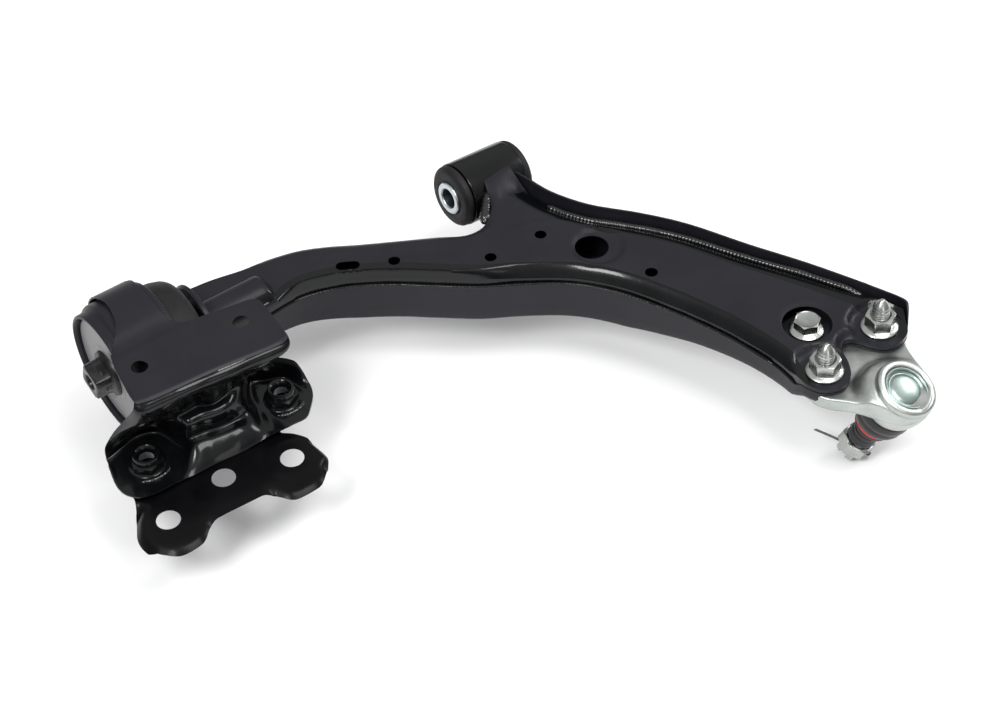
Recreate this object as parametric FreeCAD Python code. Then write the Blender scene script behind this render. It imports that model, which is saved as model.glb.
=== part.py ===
import FreeCAD, Part
import math
import os

# Stamped front lower control arm: rear bush in its bracket, front eye bush, bolted-on ball joint.
# Millimetres. +X runs along the hinge line through both bush centres, +Z is up, and the ball
# joint hangs at -Y. The origin is the centre of the front bush.

# ---- sizes -------------------------------------------------------------------------------
SHEET = 3.0                      # thickness of every stamping

WEB_Z = 10.0                     # top of the arm's web
PAD_Z = 5.0                      # top of the two bolt pads
UPPER_EDGE_Z = -4.0              # lower edge of the upper shell
NEAR_WALL_Z = 0.0                # top edge of the lower shell on the near side
RIM_Z = 14.0                     # top edge of the lower shell on the far side
FLOOR_Z = -34.0                  # underside of the arm
END_FLOOR_Z = -1.0               # underside of the arm where the ball joint bolts on

EYE_PITCH = 4.84                 # tilt of the front bush from the hinge line, degrees
EYE_YAW = 1.39
EYE_LENGTH = 46.0
EYE_R = 23.0
EYE_BORE_R = 19.8
FRONT_SLEEVE_LENGTH = 62.0
FRONT_SLEEVE_R = 11.75
FRONT_BORE_R = 7.1
FRONT_RUBBER_HALF = 29.0
RUN_GAP = 0.05                   # running clearance of the turning sleeves

BUSH_BACK_X = -306.0             # open face of the rear bush
BUSH_FRONT_X = -240.0
SHELL_FRONT_X = -260.0
SHELL_R = 46.5
SHELL_BORE_R = 42.0
LIP_R = 43.0
LIP_LENGTH = 6.0
COVER_X = -302.0
COVER_T = 2.0
REAR_SLEEVE_R = 16.0
PIN_R = 11.0
PIN_BACK_X = -312.0
PIN_FRONT_X = -188.0
BLOCK_SIDE = 25.0
BLOCK_BACK_X = -317.0
PIN_FLANGE_R = 31.0
PIN_FLANGE_X = -236.0
PIN_FLANGE_T = 4.0

PLATE_Z = 44.0                   # top of the rear bracket
FOOT_Z = -14.0                   # top of its feet
LOWER_Z = -17.0                  # top of the plate under the feet
FOOT_HOLE_R = 6.0
MOUNT_HOLE_R = 8.0
TOOL_HOLE_R = 5.5
WELD_NUT_H = 11.0
WELD_NUT_R = 6.0

BALL_TOP = (93.6, -333.8, 5.0)   # centre of the ring on top of the ball joint
BALL_AXIS = (0.17, -0.375, 0.911)
RING_R = 20.7
HOUSING_DEPTH = 26.0
BALL_DEPTH = 15.0
BALL_R = 12.5
SEAT_R = 15.6
FLANGE_T = 10.0
STUD_R = 6.0
STUD_TOP_Z = 30.0
NUT_FLANGE_R = 12.5
NUT_H = 12.0
NUT_AF = 18.0
BOLT_SEAT_Z = 2.0
BOLT_AF = 16.0

NEAR_STUD = (61.6, -290.5)
FAR_STUD = (116.4, -282.7)
MIDDLE_BOLT = (80.1, -252.7)
NEAR_FOOT_NUT = (-318.0, -74.0)
FAR_FOOT_NUT = (-219.5, -78.5)
MOUNT_HOLES = [(-330.0, -119.7), (-284.3, -110.9), (-240.7, -123.6)]
TOOL_HOLES = [(-299.9, -49.2), (-228.4, -54.3)]

# Outline of the arm seen from above, walked from the neck to the ball joint and back.
NEAR_SIDE = [(-230, -20), (-195, -19.5), (-165, -18), (-136, -26.5), (-110, -43), (-86, -63),
             (-62.5, -83), (-39.5, -98.5), (-12.5, -120), (7.5, -145.5), (24, -181), (36, -217),
             (41.5, -241), (45, -264), (44, -286)]
BOLT_END = [(44, -294), (50, -304), (61.6, -308.5), (73, -304.5), (79.5, -293), (84, -281),
            (90, -277.5), (96, -281), (100, -292), (108, -300), (116.5, -301.7), (127, -298.5),
            (134.5, -291.5)]
FAR_SIDE = [(141, -283.5), (131.5, -256), (113.5, -214.5), (95.7, -178.5), (74.8, -133.4),
            (57.8, -107), (34.7, -76.5), (22.5, -50), (18.5, -29.5), (15, -12)]
EYE_SIDE = [(-8, -12), (-13, -26), (-19, -37), (-30, -44.5), (-44, -44), (-64, -34), (-87, -20),
            (-110, -6.4), (-145.6, 14.3), (-165, 19.4), (-187, 24), (-207, 29), (-230, 31)]


# ---- helpers -----------------------------------------------------------------------------
def vec(x, y, z=0.0):
    return FreeCAD.Vector(x, y, z)


def wire_at(points, z):
    """Closed straight-sided wire through points given as (x, y)."""
    corners = [vec(p[0], p[1], z) for p in points]
    return Part.makePolygon(corners + [corners[0]])


def prism(points, z_low, z_high):
    face = Part.Face(wire_at(points, z_low))
    return face.extrude(vec(0, 0, z_high - z_low))


def ruled(low_points, z_low, high_points, z_high):
    """Solid between two outlines with the same number of corners."""
    return Part.makeLoft([wire_at(low_points, z_low), wire_at(high_points, z_high)], True, True)


def side_prism(profile, x_low, x_high):
    """Profile given as (y, z), pulled along X."""
    corners = [vec(x_low, p[0], p[1]) for p in profile]
    face = Part.Face(Part.makePolygon(corners + [corners[0]]))
    return face.extrude(vec(x_high - x_low, 0, 0))


def rod(radius, x_low, x_high):
    return Part.makeCylinder(radius, x_high - x_low, vec(x_low, 0, 0), vec(1, 0, 0))


def post(radius, centre, z_low, z_high):
    return Part.makeCylinder(radius, z_high - z_low, vec(centre[0], centre[1], z_low))


def turned(profile):
    """Solid of revolution about Z; profile is (radius, height)."""
    corners = [vec(p[0], 0, p[1]) for p in profile]
    face = Part.Face(Part.makePolygon(corners + [corners[0]]))
    return face.revolve(vec(0, 0, 0), vec(0, 0, 1), 360)


def turned_on_x(profile):
    """Solid of revolution about X; profile is (radius, x)."""
    corners = [vec(p[1], p[0], 0) for p in profile]
    face = Part.Face(Part.makePolygon(corners + [corners[0]]))
    return face.revolve(vec(0, 0, 0), vec(1, 0, 0), 360)


def hexagon(centre, across_flats, z_low, z_high, turn=0.0):
    radius = across_flats / math.sqrt(3.0)
    points = []
    for i in range(6):
        a = math.radians(60 * i + turn)
        points.append((centre[0] + radius * math.cos(a), centre[1] + radius * math.sin(a)))
    return prism(points, z_low, z_high)


def inset(points, distances):
    """Move each corner of a closed outline inwards along its own normal."""
    if not isinstance(distances, list):
        distances = [distances] * len(points)
    moved = []
    count = len(points)
    for i in range(count):
        before = points[i - 1]
        after = points[(i + 1) % count]
        dx = after[0] - before[0]
        dy = after[1] - before[1]
        length = math.hypot(dx, dy)
        x = points[i][0] - dy / length * distances[i]
        y = points[i][1] + dx / length * distances[i]
        moved.append((x, y))
    return moved


def on_axis(shape, base, direction):
    """Carry a shape built about +Z onto another axis."""
    turn = FreeCAD.Rotation(vec(0, 0, 1), vec(*direction))
    placed = shape.copy()
    placed.Placement = FreeCAD.Placement(vec(*base), turn).multiply(shape.Placement)
    return placed


def on_eye(shape):
    """Carry a shape built about the X axis onto the tilted front bush."""
    yaw = FreeCAD.Rotation(vec(0, 0, 1), EYE_YAW)
    pitch = FreeCAD.Rotation(vec(0, 1, 0), EYE_PITCH)
    placed = shape.copy()
    placed.Placement = FreeCAD.Placement(vec(0, 0, 0), yaw.multiply(pitch))
    return placed


def at_ball(shape):
    return on_axis(shape, BALL_TOP, BALL_AXIS)


def save(name, shape):
    shape.exportStep("parts/" + name + ".step")


# ---- arm ---------------------------------------------------------------------------------
OUTLINE = NEAR_SIDE + BOLT_END + FAR_SIDE + EYE_SIDE


def side_insets(near, end, far, eye):
    return ([near] * len(NEAR_SIDE) + [end] * len(BOLT_END)
            + [far] * len(FAR_SIDE) + [eye] * len(EYE_SIDE))


def arm_side_profile(lift):
    """Underside of the arm along Y: deep box, shallow at the bolted end."""
    floor = FLOOR_Z + lift
    end = END_FLOOR_Z + lift
    return [(60, floor), (60, 40), (-320, 40), (-320, end), (-233, end), (-226, -13 + lift),
            (-199, -23 + lift), (-160, -31 + lift), (-146, floor)]


def arm_body(points, lift):
    """Everything inside an outline of the arm, from its underside up."""
    body = prism(points, FLOOR_Z - 1, 40)
    body = body.common(side_prism(arm_side_profile(lift), -400, 300))
    neck = ruled([(-240, -60), (-120, -60), (-120, 60), (-240, 60)], -60,
                 [(-240, -60), (-239, -60), (-239, 60), (-240, 60)], -14 + lift)
    return body.cut(neck)


def eye_cutter():
    return on_eye(rod(EYE_R, -60, 60))


def pin_cutter():
    return rod(PIN_R, -260, PIN_FRONT_X + 2)


def arm_lower_shell():
    shell = arm_body(OUTLINE, 0.0)
    shell = shell.cut(arm_body(inset(OUTLINE, SHEET), SHEET))
    near_top = [(-240, -400), (47, -400), (60, -250), (45, -215), (20, -140), (-10, -95),
                (-60, -60), (-110, -20), (-150, 0), (-240, 6)]
    shell = shell.cut(prism(near_top, NEAR_WALL_Z, 60))
    shell = shell.cut(prism([(-240, -60), (-21, -60), (-9, -30), (-9, 0), (-240, 60)], 2.0, 60))
    shell = shell.cut(prism([(-60, -277), (130, -277), (137, -310), (-60, -320)], 2.0, 60))
    shell = shell.cut(prism([(-300, -400), (300, -400), (300, 60), (-300, 60)], RIM_Z, 60))
    shell = shell.cut(eye_cutter()).cut(pin_cutter())
    for centre in (NEAR_STUD, FAR_STUD, MIDDLE_BOLT):
        shell = shell.cut(post(STUD_R + 0.3, centre, -40, 40))
    return biggest(shell)


def biggest(shape):
    return sorted(shape.Solids, key=lambda s: s.Volume)[-1]


def arm_upper_shell():
    skirt = inset(OUTLINE, side_insets(SHEET, 0.0, SHEET, 0.0))
    crown = inset(OUTLINE, side_insets(7.0, 2.0, 17.0, 4.0))
    outer = prism(skirt, UPPER_EDGE_Z, 3.0).fuse(ruled(skirt, 3.0, crown, WEB_Z))
    skirt_in = inset(skirt, SHEET)
    crown_in = inset(crown, SHEET)
    inner = prism(skirt_in, UPPER_EDGE_Z - 1, 0.0).fuse(ruled(skirt_in, 0.0, crown_in, WEB_Z - SHEET))
    shell = outer.cut(inner)
    neck = rod(PIN_R + SHEET, -230, -184).common(prism(skirt, UPPER_EDGE_Z, 30))
    shell = shell.fuse(neck)
    shell = shell.cut(pin_cutter()).cut(eye_cutter())
    shell = shell.cut(post(200, (90, -470), -40, PAD_Z - SHEET))
    for centre, radius in ((NEAR_STUD, 17.0), (FAR_STUD, 17.0)):
        shell = shell.cut(post(radius, centre, -40, 40))
        shell = shell.fuse(post(radius, centre, PAD_Z - SHEET, PAD_Z))
        shell = shell.cut(post(STUD_R + 0.3, centre, -40, 40))
    return arm_openings(shell)


def arm_openings(shell):
    holes = [((14.3, -107.5), 11.6), ((-6.8, -77.6), 4.1), ((-46.9, -74.7), 4.1),
             ((-100.4, -36.9), 4.1), ((29.1, -153.8), 4.4), ((78.4, -254.5), 16.5)]
    for centre, radius in holes:
        shell = shell.cut(post(radius, centre, -20, 40))
    slot = post(4.0, (-132.0, -18.5), -20, 40).fuse(post(4.0, (-123.5, -23.5), -20, 40))
    shell = shell.cut(slot.fuse(Part.makeBox(9.8, 8.0, 60, vec(0, -4, -20)).transformed(
        slot_turn())))
    return biggest(shell)


def slot_turn():
    matrix = FreeCAD.Matrix()
    matrix.rotateZ(math.radians(-30.5))
    matrix.move(vec(-132.0, -18.5, 0))
    return matrix


def near_wall_skirt():
    """The near wall carries on down beside the ball joint's flange."""
    band = prism(OUTLINE, -17.0, END_FLOOR_Z).cut(prism(inset(OUTLINE, SHEET), -18.0, 0.0))
    band = band.common(prism([(20, -226), (56, -226), (53, -290), (20, -290)], -18, 0))
    wedge = side_prism([(-265, -17.0), (-265, -30.0), (-295, -30.0), (-295, -7.0)], 0, 80)
    return biggest(band.cut(wedge))


def weld_bead(points, z, radius):
    """Round bead laid along a line of points."""
    bead = None
    for start, end in zip(points[:-1], points[1:]):
        length = math.dist(start, end)
        direction = vec(end[0] - start[0], end[1] - start[1], 0)
        run = Part.makeCylinder(radius, length, vec(start[0], start[1], z), direction)
        run = run.fuse(Part.makeSphere(radius, vec(start[0], start[1], z)))
        bead = run if bead is None else bead.fuse(run)
    return bead


def flat_bead(first, last, outer_inset, inner_inset, z, height):
    """Bead along part of the outline, between two insets."""
    outer = inset(OUTLINE, outer_inset)[first:last]
    inner = inset(OUTLINE, inner_inset)[first:last]
    return prism(outer + inner[::-1], z, z + height)


def build_arm():
    upper = arm_upper_shell()
    lower = arm_lower_shell().fuse(near_wall_skirt()).cut(upper)
    lower = biggest(lower)
    shells = upper.fuse(lower)
    far_start = len(NEAR_SIDE) + len(BOLT_END)
    near_bead = flat_bead(2, len(NEAR_SIDE) - 1, 0.3, SHEET - 0.05, NEAR_WALL_Z, 1.6)
    far_bead = flat_bead(far_start + 1, far_start + 8, SHEET + 0.05, SHEET + 3.0, 4.5, 2.0)
    tube = on_eye(rod(EYE_R, -23, 23))
    eye_bead = weld_bead([(-27, -40), (-17, -31), (-12, -24)], 6.0, 5.0)
    eye_bead = biggest(eye_bead.cut(shells).cut(tube))
    save("arm_upper_shell", upper)
    save("arm_lower_shell", lower)
    save("weld_near", near_bead)
    save("weld_far", far_bead)
    save("weld_eye", eye_bead)


# ---- front bush --------------------------------------------------------------------------
def build_front_bush():
    half = EYE_LENGTH / 2
    tube = rod(EYE_R, -half, half).cut(rod(EYE_BORE_R, -half - 1, half + 1))
    end = FRONT_RUBBER_HALF
    hole = FRONT_SLEEVE_R + RUN_GAP
    rubber = turned_on_x([(hole, -end), (18.0, -end), (21.0, -end + 3.0), (20.5, -half - 0.1),
                          (EYE_BORE_R, -half - 0.1), (EYE_BORE_R, half + 0.1),
                          (20.5, half + 0.1), (21.0, end - 3.0), (18.0, end), (hole, end)])
    long = FRONT_SLEEVE_LENGTH / 2
    sleeve = rod(FRONT_SLEEVE_R, -long, long).cut(rod(FRONT_BORE_R, -long - 1, long + 1))
    save("front_eye_tube", on_eye(tube))
    save("front_bush_rubber", on_eye(rubber))
    save("front_bush_sleeve", on_eye(sleeve))


# ---- rear bush ---------------------------------------------------------------------------
def build_rear_bush():
    back = BUSH_BACK_X
    shell = turned_on_x([(LIP_R - 2.5, back), (LIP_R, back), (LIP_R, back + LIP_LENGTH),
                         (SHELL_R, back + LIP_LENGTH + 4), (SHELL_R, SHELL_FRONT_X),
                         (SHELL_BORE_R, SHELL_FRONT_X), (SHELL_BORE_R, back + LIP_LENGTH + 4),
                         (LIP_R - 2.5, back + LIP_LENGTH)])
    hole = REAR_SLEEVE_R + RUN_GAP
    rubber = turned_on_x([(hole, COVER_X + COVER_T), (40.0, COVER_X + COVER_T),
                          (SHELL_BORE_R, back + LIP_LENGTH + 5), (SHELL_BORE_R, -255.0),
                          (41.0, -250.0), (39.0, -244.0), (36.0, BUSH_FRONT_X),
                          (hole, BUSH_FRONT_X)])
    cover = rod(LIP_R - 2.5, COVER_X, COVER_X + COVER_T)
    cover = cover.cut(rod(hole, COVER_X - 1, COVER_X + COVER_T + 1))
    pin = rod(PIN_R, PIN_BACK_X, PIN_FRONT_X)
    ring_back = PIN_FLANGE_X
    sleeve = rod(REAR_SLEEVE_R, COVER_X - 3.0, ring_back)
    sleeve = sleeve.fuse(rounded_block(COVER_X - 3.0))
    sleeve = sleeve.cut(rod(PIN_R, BLOCK_BACK_X - 1, ring_back + 1))
    flange = rod(PIN_FLANGE_R, ring_back, ring_back + PIN_FLANGE_T)
    flange = flange.cut(rod(PIN_R, ring_back - 1, ring_back + PIN_FLANGE_T + 1))
    save("rear_bush_shell", shell)
    save("rear_bush_rubber", rubber)
    save("rear_bush_cover", cover)
    save("rear_pin", pin)
    save("rear_bush_sleeve", sleeve)
    save("rear_pin_flange", flange)


def rounded_block(x_high):
    """Square end of the inner sleeve, standing out of the rear bush."""
    half = BLOCK_SIDE / 2
    length = x_high - BLOCK_BACK_X
    block = Part.makeBox(length, BLOCK_SIDE, BLOCK_SIDE, vec(BLOCK_BACK_X, -half, -half))
    block = block.common(rod(half * 1.22, BLOCK_BACK_X, x_high))
    block.rotate(vec(0, 0, 0), vec(1, 0, 0), 20)
    return block


# ---- rear bracket ------------------------------------------------------------------------
PLATE = [(-300, -19), (-309, -26), (-311.5, -32), (-318.5, -73), (-315, -77), (-216, -86.5),
         (-212, -83), (-207.5, -46), (-211, -40), (-235, -35.5), (-251, -32), (-258, -29),
         (-263.5, -23), (-265.5, -18)]
WALL_FOOT = [(-342, -66), (-331, -56), (-320, -52), (-306, -55), (-296, -66), (-293, -80),
             (-287, -88), (-270, -89), (-250, -86), (-240, -73), (-232, -61), (-219, -56),
             (-206, -58), (-197, -66)]
NEAR_FOOT = [(-342, -84), (-336, -94.5), (-331, -98.5), (-304, -99.5), (-296, -96), (-291, -86),
             (-294, -66), (-305, -54), (-320, -50), (-331, -52), (-338, -56), (-343, -74)]
FAR_FOOT = [(-242, -100), (-236, -102), (-214.6, -102.5), (-202, -89), (-197, -72),
            (-196.5, -63), (-206, -51), (-218, -44), (-232, -50), (-242, -66), (-247, -84)]
LOWER_PLATE = [(-335, -60), (-341, -72), (-338, -94), (-347, -108), (-353, -120), (-351, -131),
               (-339, -146), (-320, -147), (-310, -138.3), (-301, -137.6), (-266, -140),
               (-257, -151.5), (-237, -152), (-224, -140), (-220, -134), (-221.5, -117),
               (-229, -103), (-212, -98), (-201, -82), (-201, -66), (-216, -54), (-270, -58)]


def wall_sheet():
    """Front wall: straight under the plate, winding round the two nuts at the feet."""
    count = len(WALL_FOOT)
    top = []
    for i in range(count):
        share = i / (count - 1)
        top.append((-316.5 + share * 102.5, -75.5 - share * 10.0))
    top_loop = top + [(p[0], p[1] + SHEET) for p in reversed(top)]
    foot_loop = WALL_FOOT + [(p[0], p[1] + SHEET) for p in reversed(WALL_FOOT)]
    return ruled(foot_loop, FOOT_Z - 1, top_loop, PLATE_Z - 1)


def side_sheet():
    """Left wall, spreading from the plate to the foot."""
    low = [(-337, -44), (-345, -80), (-341, -81), (-333, -45)]
    high = [(-311.5, -34), (-318.5, -74), (-315.5, -74.5), (-308.5, -34)]
    return ruled(low, FOOT_Z - 3, high, PLATE_Z - 1)


def build_bracket():
    plate = prism(PLATE, PLATE_Z - SHEET, PLATE_Z)
    hump = rod(SHELL_R + SHEET, -299, -265.5).cut(rod(SHELL_R, -300, -264))
    hump = hump.common(Part.makeBox(60, 82, 70, vec(-320, -22, -8)))
    upper = plate.fuse([hump, wall_sheet(), side_sheet(), prism(NEAR_FOOT, LOWER_Z, FOOT_Z),
                        prism(FAR_FOOT, LOWER_Z, FOOT_Z)])
    lug = [(-196.5, -70), (-196.5, -63), (-206, -51), (-218, -44), (-219, -47), (-208, -54),
           (-199.5, -64.5), (-199.5, -70)]
    upper = upper.fuse(prism(lug, LOWER_Z, FOOT_Z + 10))
    upper = upper.cut(rod(SHELL_R, -330, -240))
    for centre in TOOL_HOLES:
        upper = upper.cut(post(TOOL_HOLE_R, centre, 30, 60))
    nuts = []
    for centre in (NEAR_FOOT_NUT, FAR_FOOT_NUT):
        upper = upper.cut(post(FOOT_HOLE_R, centre, -30, 0))
        nut = hexagon(centre, 20.0, FOOT_Z, FOOT_Z + WELD_NUT_H, 15.0)
        nut = nut.fuse(post(13.5, centre, FOOT_Z, FOOT_Z + 2.5))
        nut = nut.cut(post(WELD_NUT_R, centre, -30, 20))
        upper = upper.cut(post(16.0, centre, FOOT_Z, FOOT_Z + 16))
        nuts.append(nut)
    save("bracket_upper", biggest(upper))
    save("bracket_weld_nuts", Part.makeCompound(nuts))
    save("bracket_lower", bracket_lower())


def bracket_lower():
    plate = prism(LOWER_PLATE, LOWER_Z - SHEET, LOWER_Z)
    left_lip = [(-347, -108), (-353, -120), (-351, -131), (-348, -130), (-350, -120.5),
                (-344, -109.5)]
    right_lip = [(-224, -140), (-220, -134), (-221.5, -117), (-224.5, -118), (-223, -134),
                 (-226.5, -138)]
    plate = plate.fuse([prism(left_lip, LOWER_Z - 10, LOWER_Z),
                        prism(right_lip, LOWER_Z - 8, LOWER_Z)])
    for centre in MOUNT_HOLES:
        plate = plate.cut(post(MOUNT_HOLE_R, centre, -40, 0))
    for centre in (NEAR_FOOT_NUT, FAR_FOOT_NUT):
        plate = plate.cut(post(FOOT_HOLE_R, centre, -40, 0))
    return biggest(plate)


# ---- ball joint --------------------------------------------------------------------------
HOUSING_FLANGE = [(66, -243), (72, -238), (80, -236.5), (90, -239), (98, -246), (128, -271),
                  (132, -283), (130, -292), (122, -304), (118, -316), (112, -336), (92, -350),
                  (73, -338), (62, -319), (50, -305), (48, -296), (49, -286), (54, -272)]


def build_ball_housing():
    top = -1.0
    flange = prism(HOUSING_FLANGE, top - FLANGE_T, top)
    bowl = turned([(0, 0), (RING_R - 1, 0), (RING_R, -1.5), (RING_R + 0.8, -6), (RING_R + 0.5, -16),
                   (18.5, -HOUSING_DEPTH), (0, -HOUSING_DEPTH)])
    body = flange.fuse(at_ball(bowl))
    room = turned([(0, 1), (SEAT_R, 1), (SEAT_R, -24), (13, -24), (13, -HOUSING_DEPTH - 1),
                   (0, -HOUSING_DEPTH - 1)])
    above = turned([(0, 0.01), (60, 0.01), (60, 30), (0, 30)])
    body = body.cut(at_ball(room)).cut(at_ball(above))
    studs = []
    for centre in (NEAR_STUD, FAR_STUD):
        body = body.cut(post(STUD_R, centre, -40, 40))
        stud = post(STUD_R, centre, top - FLANGE_T - 2, STUD_TOP_Z - 6)
        stud = stud.fuse(post(8.5, centre, top - FLANGE_T - 2.5, top - FLANGE_T))
        tip = Part.makeCone(STUD_R, 1.5, 6, vec(centre[0], centre[1], STUD_TOP_Z - 6))
        studs.append(stud.fuse(tip))
    body = body.cut(post(STUD_R, MIDDLE_BOLT, -40, 40))
    save("ball_housing", biggest(body))
    save("housing_studs", Part.makeCompound(studs))


def build_stud_nuts():
    nuts = []
    for centre in (NEAR_STUD, FAR_STUD):
        flange = Part.makeCone(NUT_FLANGE_R, NUT_FLANGE_R - 3, 4, vec(centre[0], centre[1], PAD_Z))
        nut = hexagon(centre, NUT_AF, PAD_Z, PAD_Z + NUT_H, 18.0).fuse(flange)
        nuts.append(nut.cut(post(STUD_R, centre, 0, 30)))
    save("stud_nuts", Part.makeCompound(nuts))
    seat = BOLT_SEAT_Z
    head = hexagon(MIDDLE_BOLT, BOLT_AF, seat, seat + 9.0, 35.0)
    head = head.fuse(Part.makeCone(NUT_FLANGE_R - 0.5, NUT_FLANGE_R - 3, 2.5,
                                   vec(MIDDLE_BOLT[0], MIDDLE_BOLT[1], seat)))
    save("middle_bolt", head.fuse(post(STUD_R, MIDDLE_BOLT, -15.0, seat)))


def build_ball_parts():
    cap = turned([(0, -0.5), (12.0, -0.5), (14.0, -1.2), (SEAT_R, -1.2), (SEAT_R, -2.2),
                  (0, -2.2)])
    seat = Part.makeCylinder(SEAT_R, 21.8, vec(0, 0, -24))
    seat = seat.cut(Part.makeSphere(BALL_R + RUN_GAP, vec(0, 0, -BALL_DEPTH)))
    seat = seat.cut(Part.makeCone(18, 8, 10, vec(0, 0, -31)))
    stud = Part.makeSphere(BALL_R, vec(0, 0, -BALL_DEPTH))
    shank = turned([(0, -BALL_DEPTH), (5.8, -BALL_DEPTH), (5.8, -40), (8.2, -48), (8.2, -60),
                    (7.0, -67), (STUD_R, -67), (STUD_R, -86), (0, -86)])
    stud = stud.fuse(shank).cut(cotter_hole(1.7))
    save("ball_cap", at_ball(cap))
    save("ball_seat", at_ball(seat))
    save("ball_stud", at_ball(stud))
    save("castle_nut", at_ball(castle_nut()))
    save("cotter_pin", at_ball(cotter_pin()))


COTTER_TURN = 128.0
COTTER_DEPTH = 79.5


def cotter_hole(radius):
    hole = Part.makeCylinder(radius, 60, vec(-30, 0, -COTTER_DEPTH), vec(1, 0, 0))
    hole.rotate(vec(0, 0, 0), vec(0, 0, 1), COTTER_TURN)
    return hole


def castle_nut():
    nut = hexagon((0, 0), 21.0, -77.0, -67.0, COTTER_TURN)
    nut = nut.fuse(Part.makeCylinder(9.8, 6.0, vec(0, 0, -83.0)))
    nut = nut.cut(Part.makeCylinder(STUD_R, 20, vec(0, 0, -84)))
    for i in range(3):
        slot = Part.makeBox(30, 3.6, 6.3, vec(-15, -1.8, -84.0))
        slot.rotate(vec(0, 0, 0), vec(0, 0, 1), COTTER_TURN + 60 * i)
        nut = nut.cut(slot)
    return nut


def cotter_pin():
    eye = Part.makeTorus(2.6, 0.9, vec(-14.0, 0, -COTTER_DEPTH), vec(0, 1, 0))
    straight = Part.makeCylinder(1.5, 24.0, vec(-12.3, 0, -COTTER_DEPTH), vec(1, 0, 0))
    pin = eye.fuse(straight)
    for lean, side in ((0.05, 0.5), (-0.08, -0.5)):
        leg = Part.makeCylinder(0.8, 17.0, vec(11.0, side, -COTTER_DEPTH), vec(1, lean, lean))
        pin = pin.fuse(leg)
    pin.rotate(vec(0, 0, 0), vec(0, 0, 1), COTTER_TURN)
    return pin


def build_boot():
    """One rubber boot, cut at its waist so that each half follows its own joint."""
    upper = turned([(13.4, -26.2), (18.0, -26.2), (18.8, -30), (18.2, -35.0), (16.0, -35.0),
                    (16.6, -30), (15.6, -28.2), (13.4, -28.2)])
    waist = turned([(16.0, -35.2), (18.1, -35.2), (16.6, -40.0), (14.0, -44.4), (10.0, -44.4),
                    (12.6, -41.0), (15.0, -37)])
    ring = turned([(9.6, -44.6), (13.6, -44.6), (14.0, -46.0), (13.6, -47.4), (9.6, -47.4)])
    lower = turned([(9.6, -47.6), (12.8, -47.6), (11.2, -53), (9.8, -57), (9.8, -65.5),
                    (8.25, -65.5), (8.25, -57), (9.2, -52)])
    save("boot_upper", at_ball(upper))
    save("boot_waist", at_ball(waist))
    save("boot_ring", at_ball(ring))
    save("boot_lower", at_ball(lower))


if __name__ == "__main__":
    os.makedirs("parts", exist_ok=True)
    build_arm()
    build_front_bush()
    build_rear_bush()
    build_bracket()
    build_ball_housing()
    build_stud_nuts()
    build_ball_parts()
    build_boot()
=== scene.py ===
import math

import bmesh
import bpy
import numpy as np
from mathutils import Matrix, Vector, geometry


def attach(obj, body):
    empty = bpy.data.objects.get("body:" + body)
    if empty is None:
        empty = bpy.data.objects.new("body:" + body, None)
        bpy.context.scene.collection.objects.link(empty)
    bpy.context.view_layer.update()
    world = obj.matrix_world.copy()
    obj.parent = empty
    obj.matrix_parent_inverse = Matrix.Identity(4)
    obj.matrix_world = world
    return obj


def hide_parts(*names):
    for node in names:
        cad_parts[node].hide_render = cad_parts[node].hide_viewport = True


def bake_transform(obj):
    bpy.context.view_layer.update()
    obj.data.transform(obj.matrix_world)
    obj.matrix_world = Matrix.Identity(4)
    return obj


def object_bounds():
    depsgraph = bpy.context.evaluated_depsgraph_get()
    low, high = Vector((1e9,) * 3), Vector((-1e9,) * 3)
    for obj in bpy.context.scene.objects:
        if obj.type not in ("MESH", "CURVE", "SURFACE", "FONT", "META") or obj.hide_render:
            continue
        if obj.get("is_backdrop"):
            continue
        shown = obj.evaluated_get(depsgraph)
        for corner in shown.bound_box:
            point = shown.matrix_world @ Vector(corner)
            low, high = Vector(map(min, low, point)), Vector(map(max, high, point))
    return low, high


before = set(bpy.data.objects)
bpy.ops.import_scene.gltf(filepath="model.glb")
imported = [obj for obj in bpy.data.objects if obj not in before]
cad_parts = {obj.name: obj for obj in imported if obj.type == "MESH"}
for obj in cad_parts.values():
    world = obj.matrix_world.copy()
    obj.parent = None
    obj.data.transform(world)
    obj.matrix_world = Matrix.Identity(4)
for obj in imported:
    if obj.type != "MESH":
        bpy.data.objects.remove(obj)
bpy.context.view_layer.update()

MM = 0.001
WELD_DISTANCE = 0.00001     # vertices nearer than this, in metres, are one
SHEET = 2.6                 # thickness of the stampings, in millimetres


# ---- materials ---------------------------------------------------------------------------
def new_material(name, colour, rough, metal=0.0, coat=0.0, coat_rough=0.1, shine=0.5):
    mat = bpy.data.materials.new(name)
    mat.use_nodes = True
    shader = mat.node_tree.nodes["Principled BSDF"]
    shader.inputs["Base Color"].default_value = (*colour, 1.0)
    shader.inputs["Roughness"].default_value = rough
    shader.inputs["Metallic"].default_value = metal
    shader.inputs["Specular IOR Level"].default_value = shine
    shader.inputs["Coat Weight"].default_value = coat
    shader.inputs["Coat Roughness"].default_value = coat_rough
    return mat


def add_node(mat, kind, **inputs):
    node = mat.node_tree.nodes.new(kind)
    for key, value in inputs.items():
        node.inputs[key].default_value = value
    return node


def link(mat, source, target):
    mat.node_tree.links.new(source, target)


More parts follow.
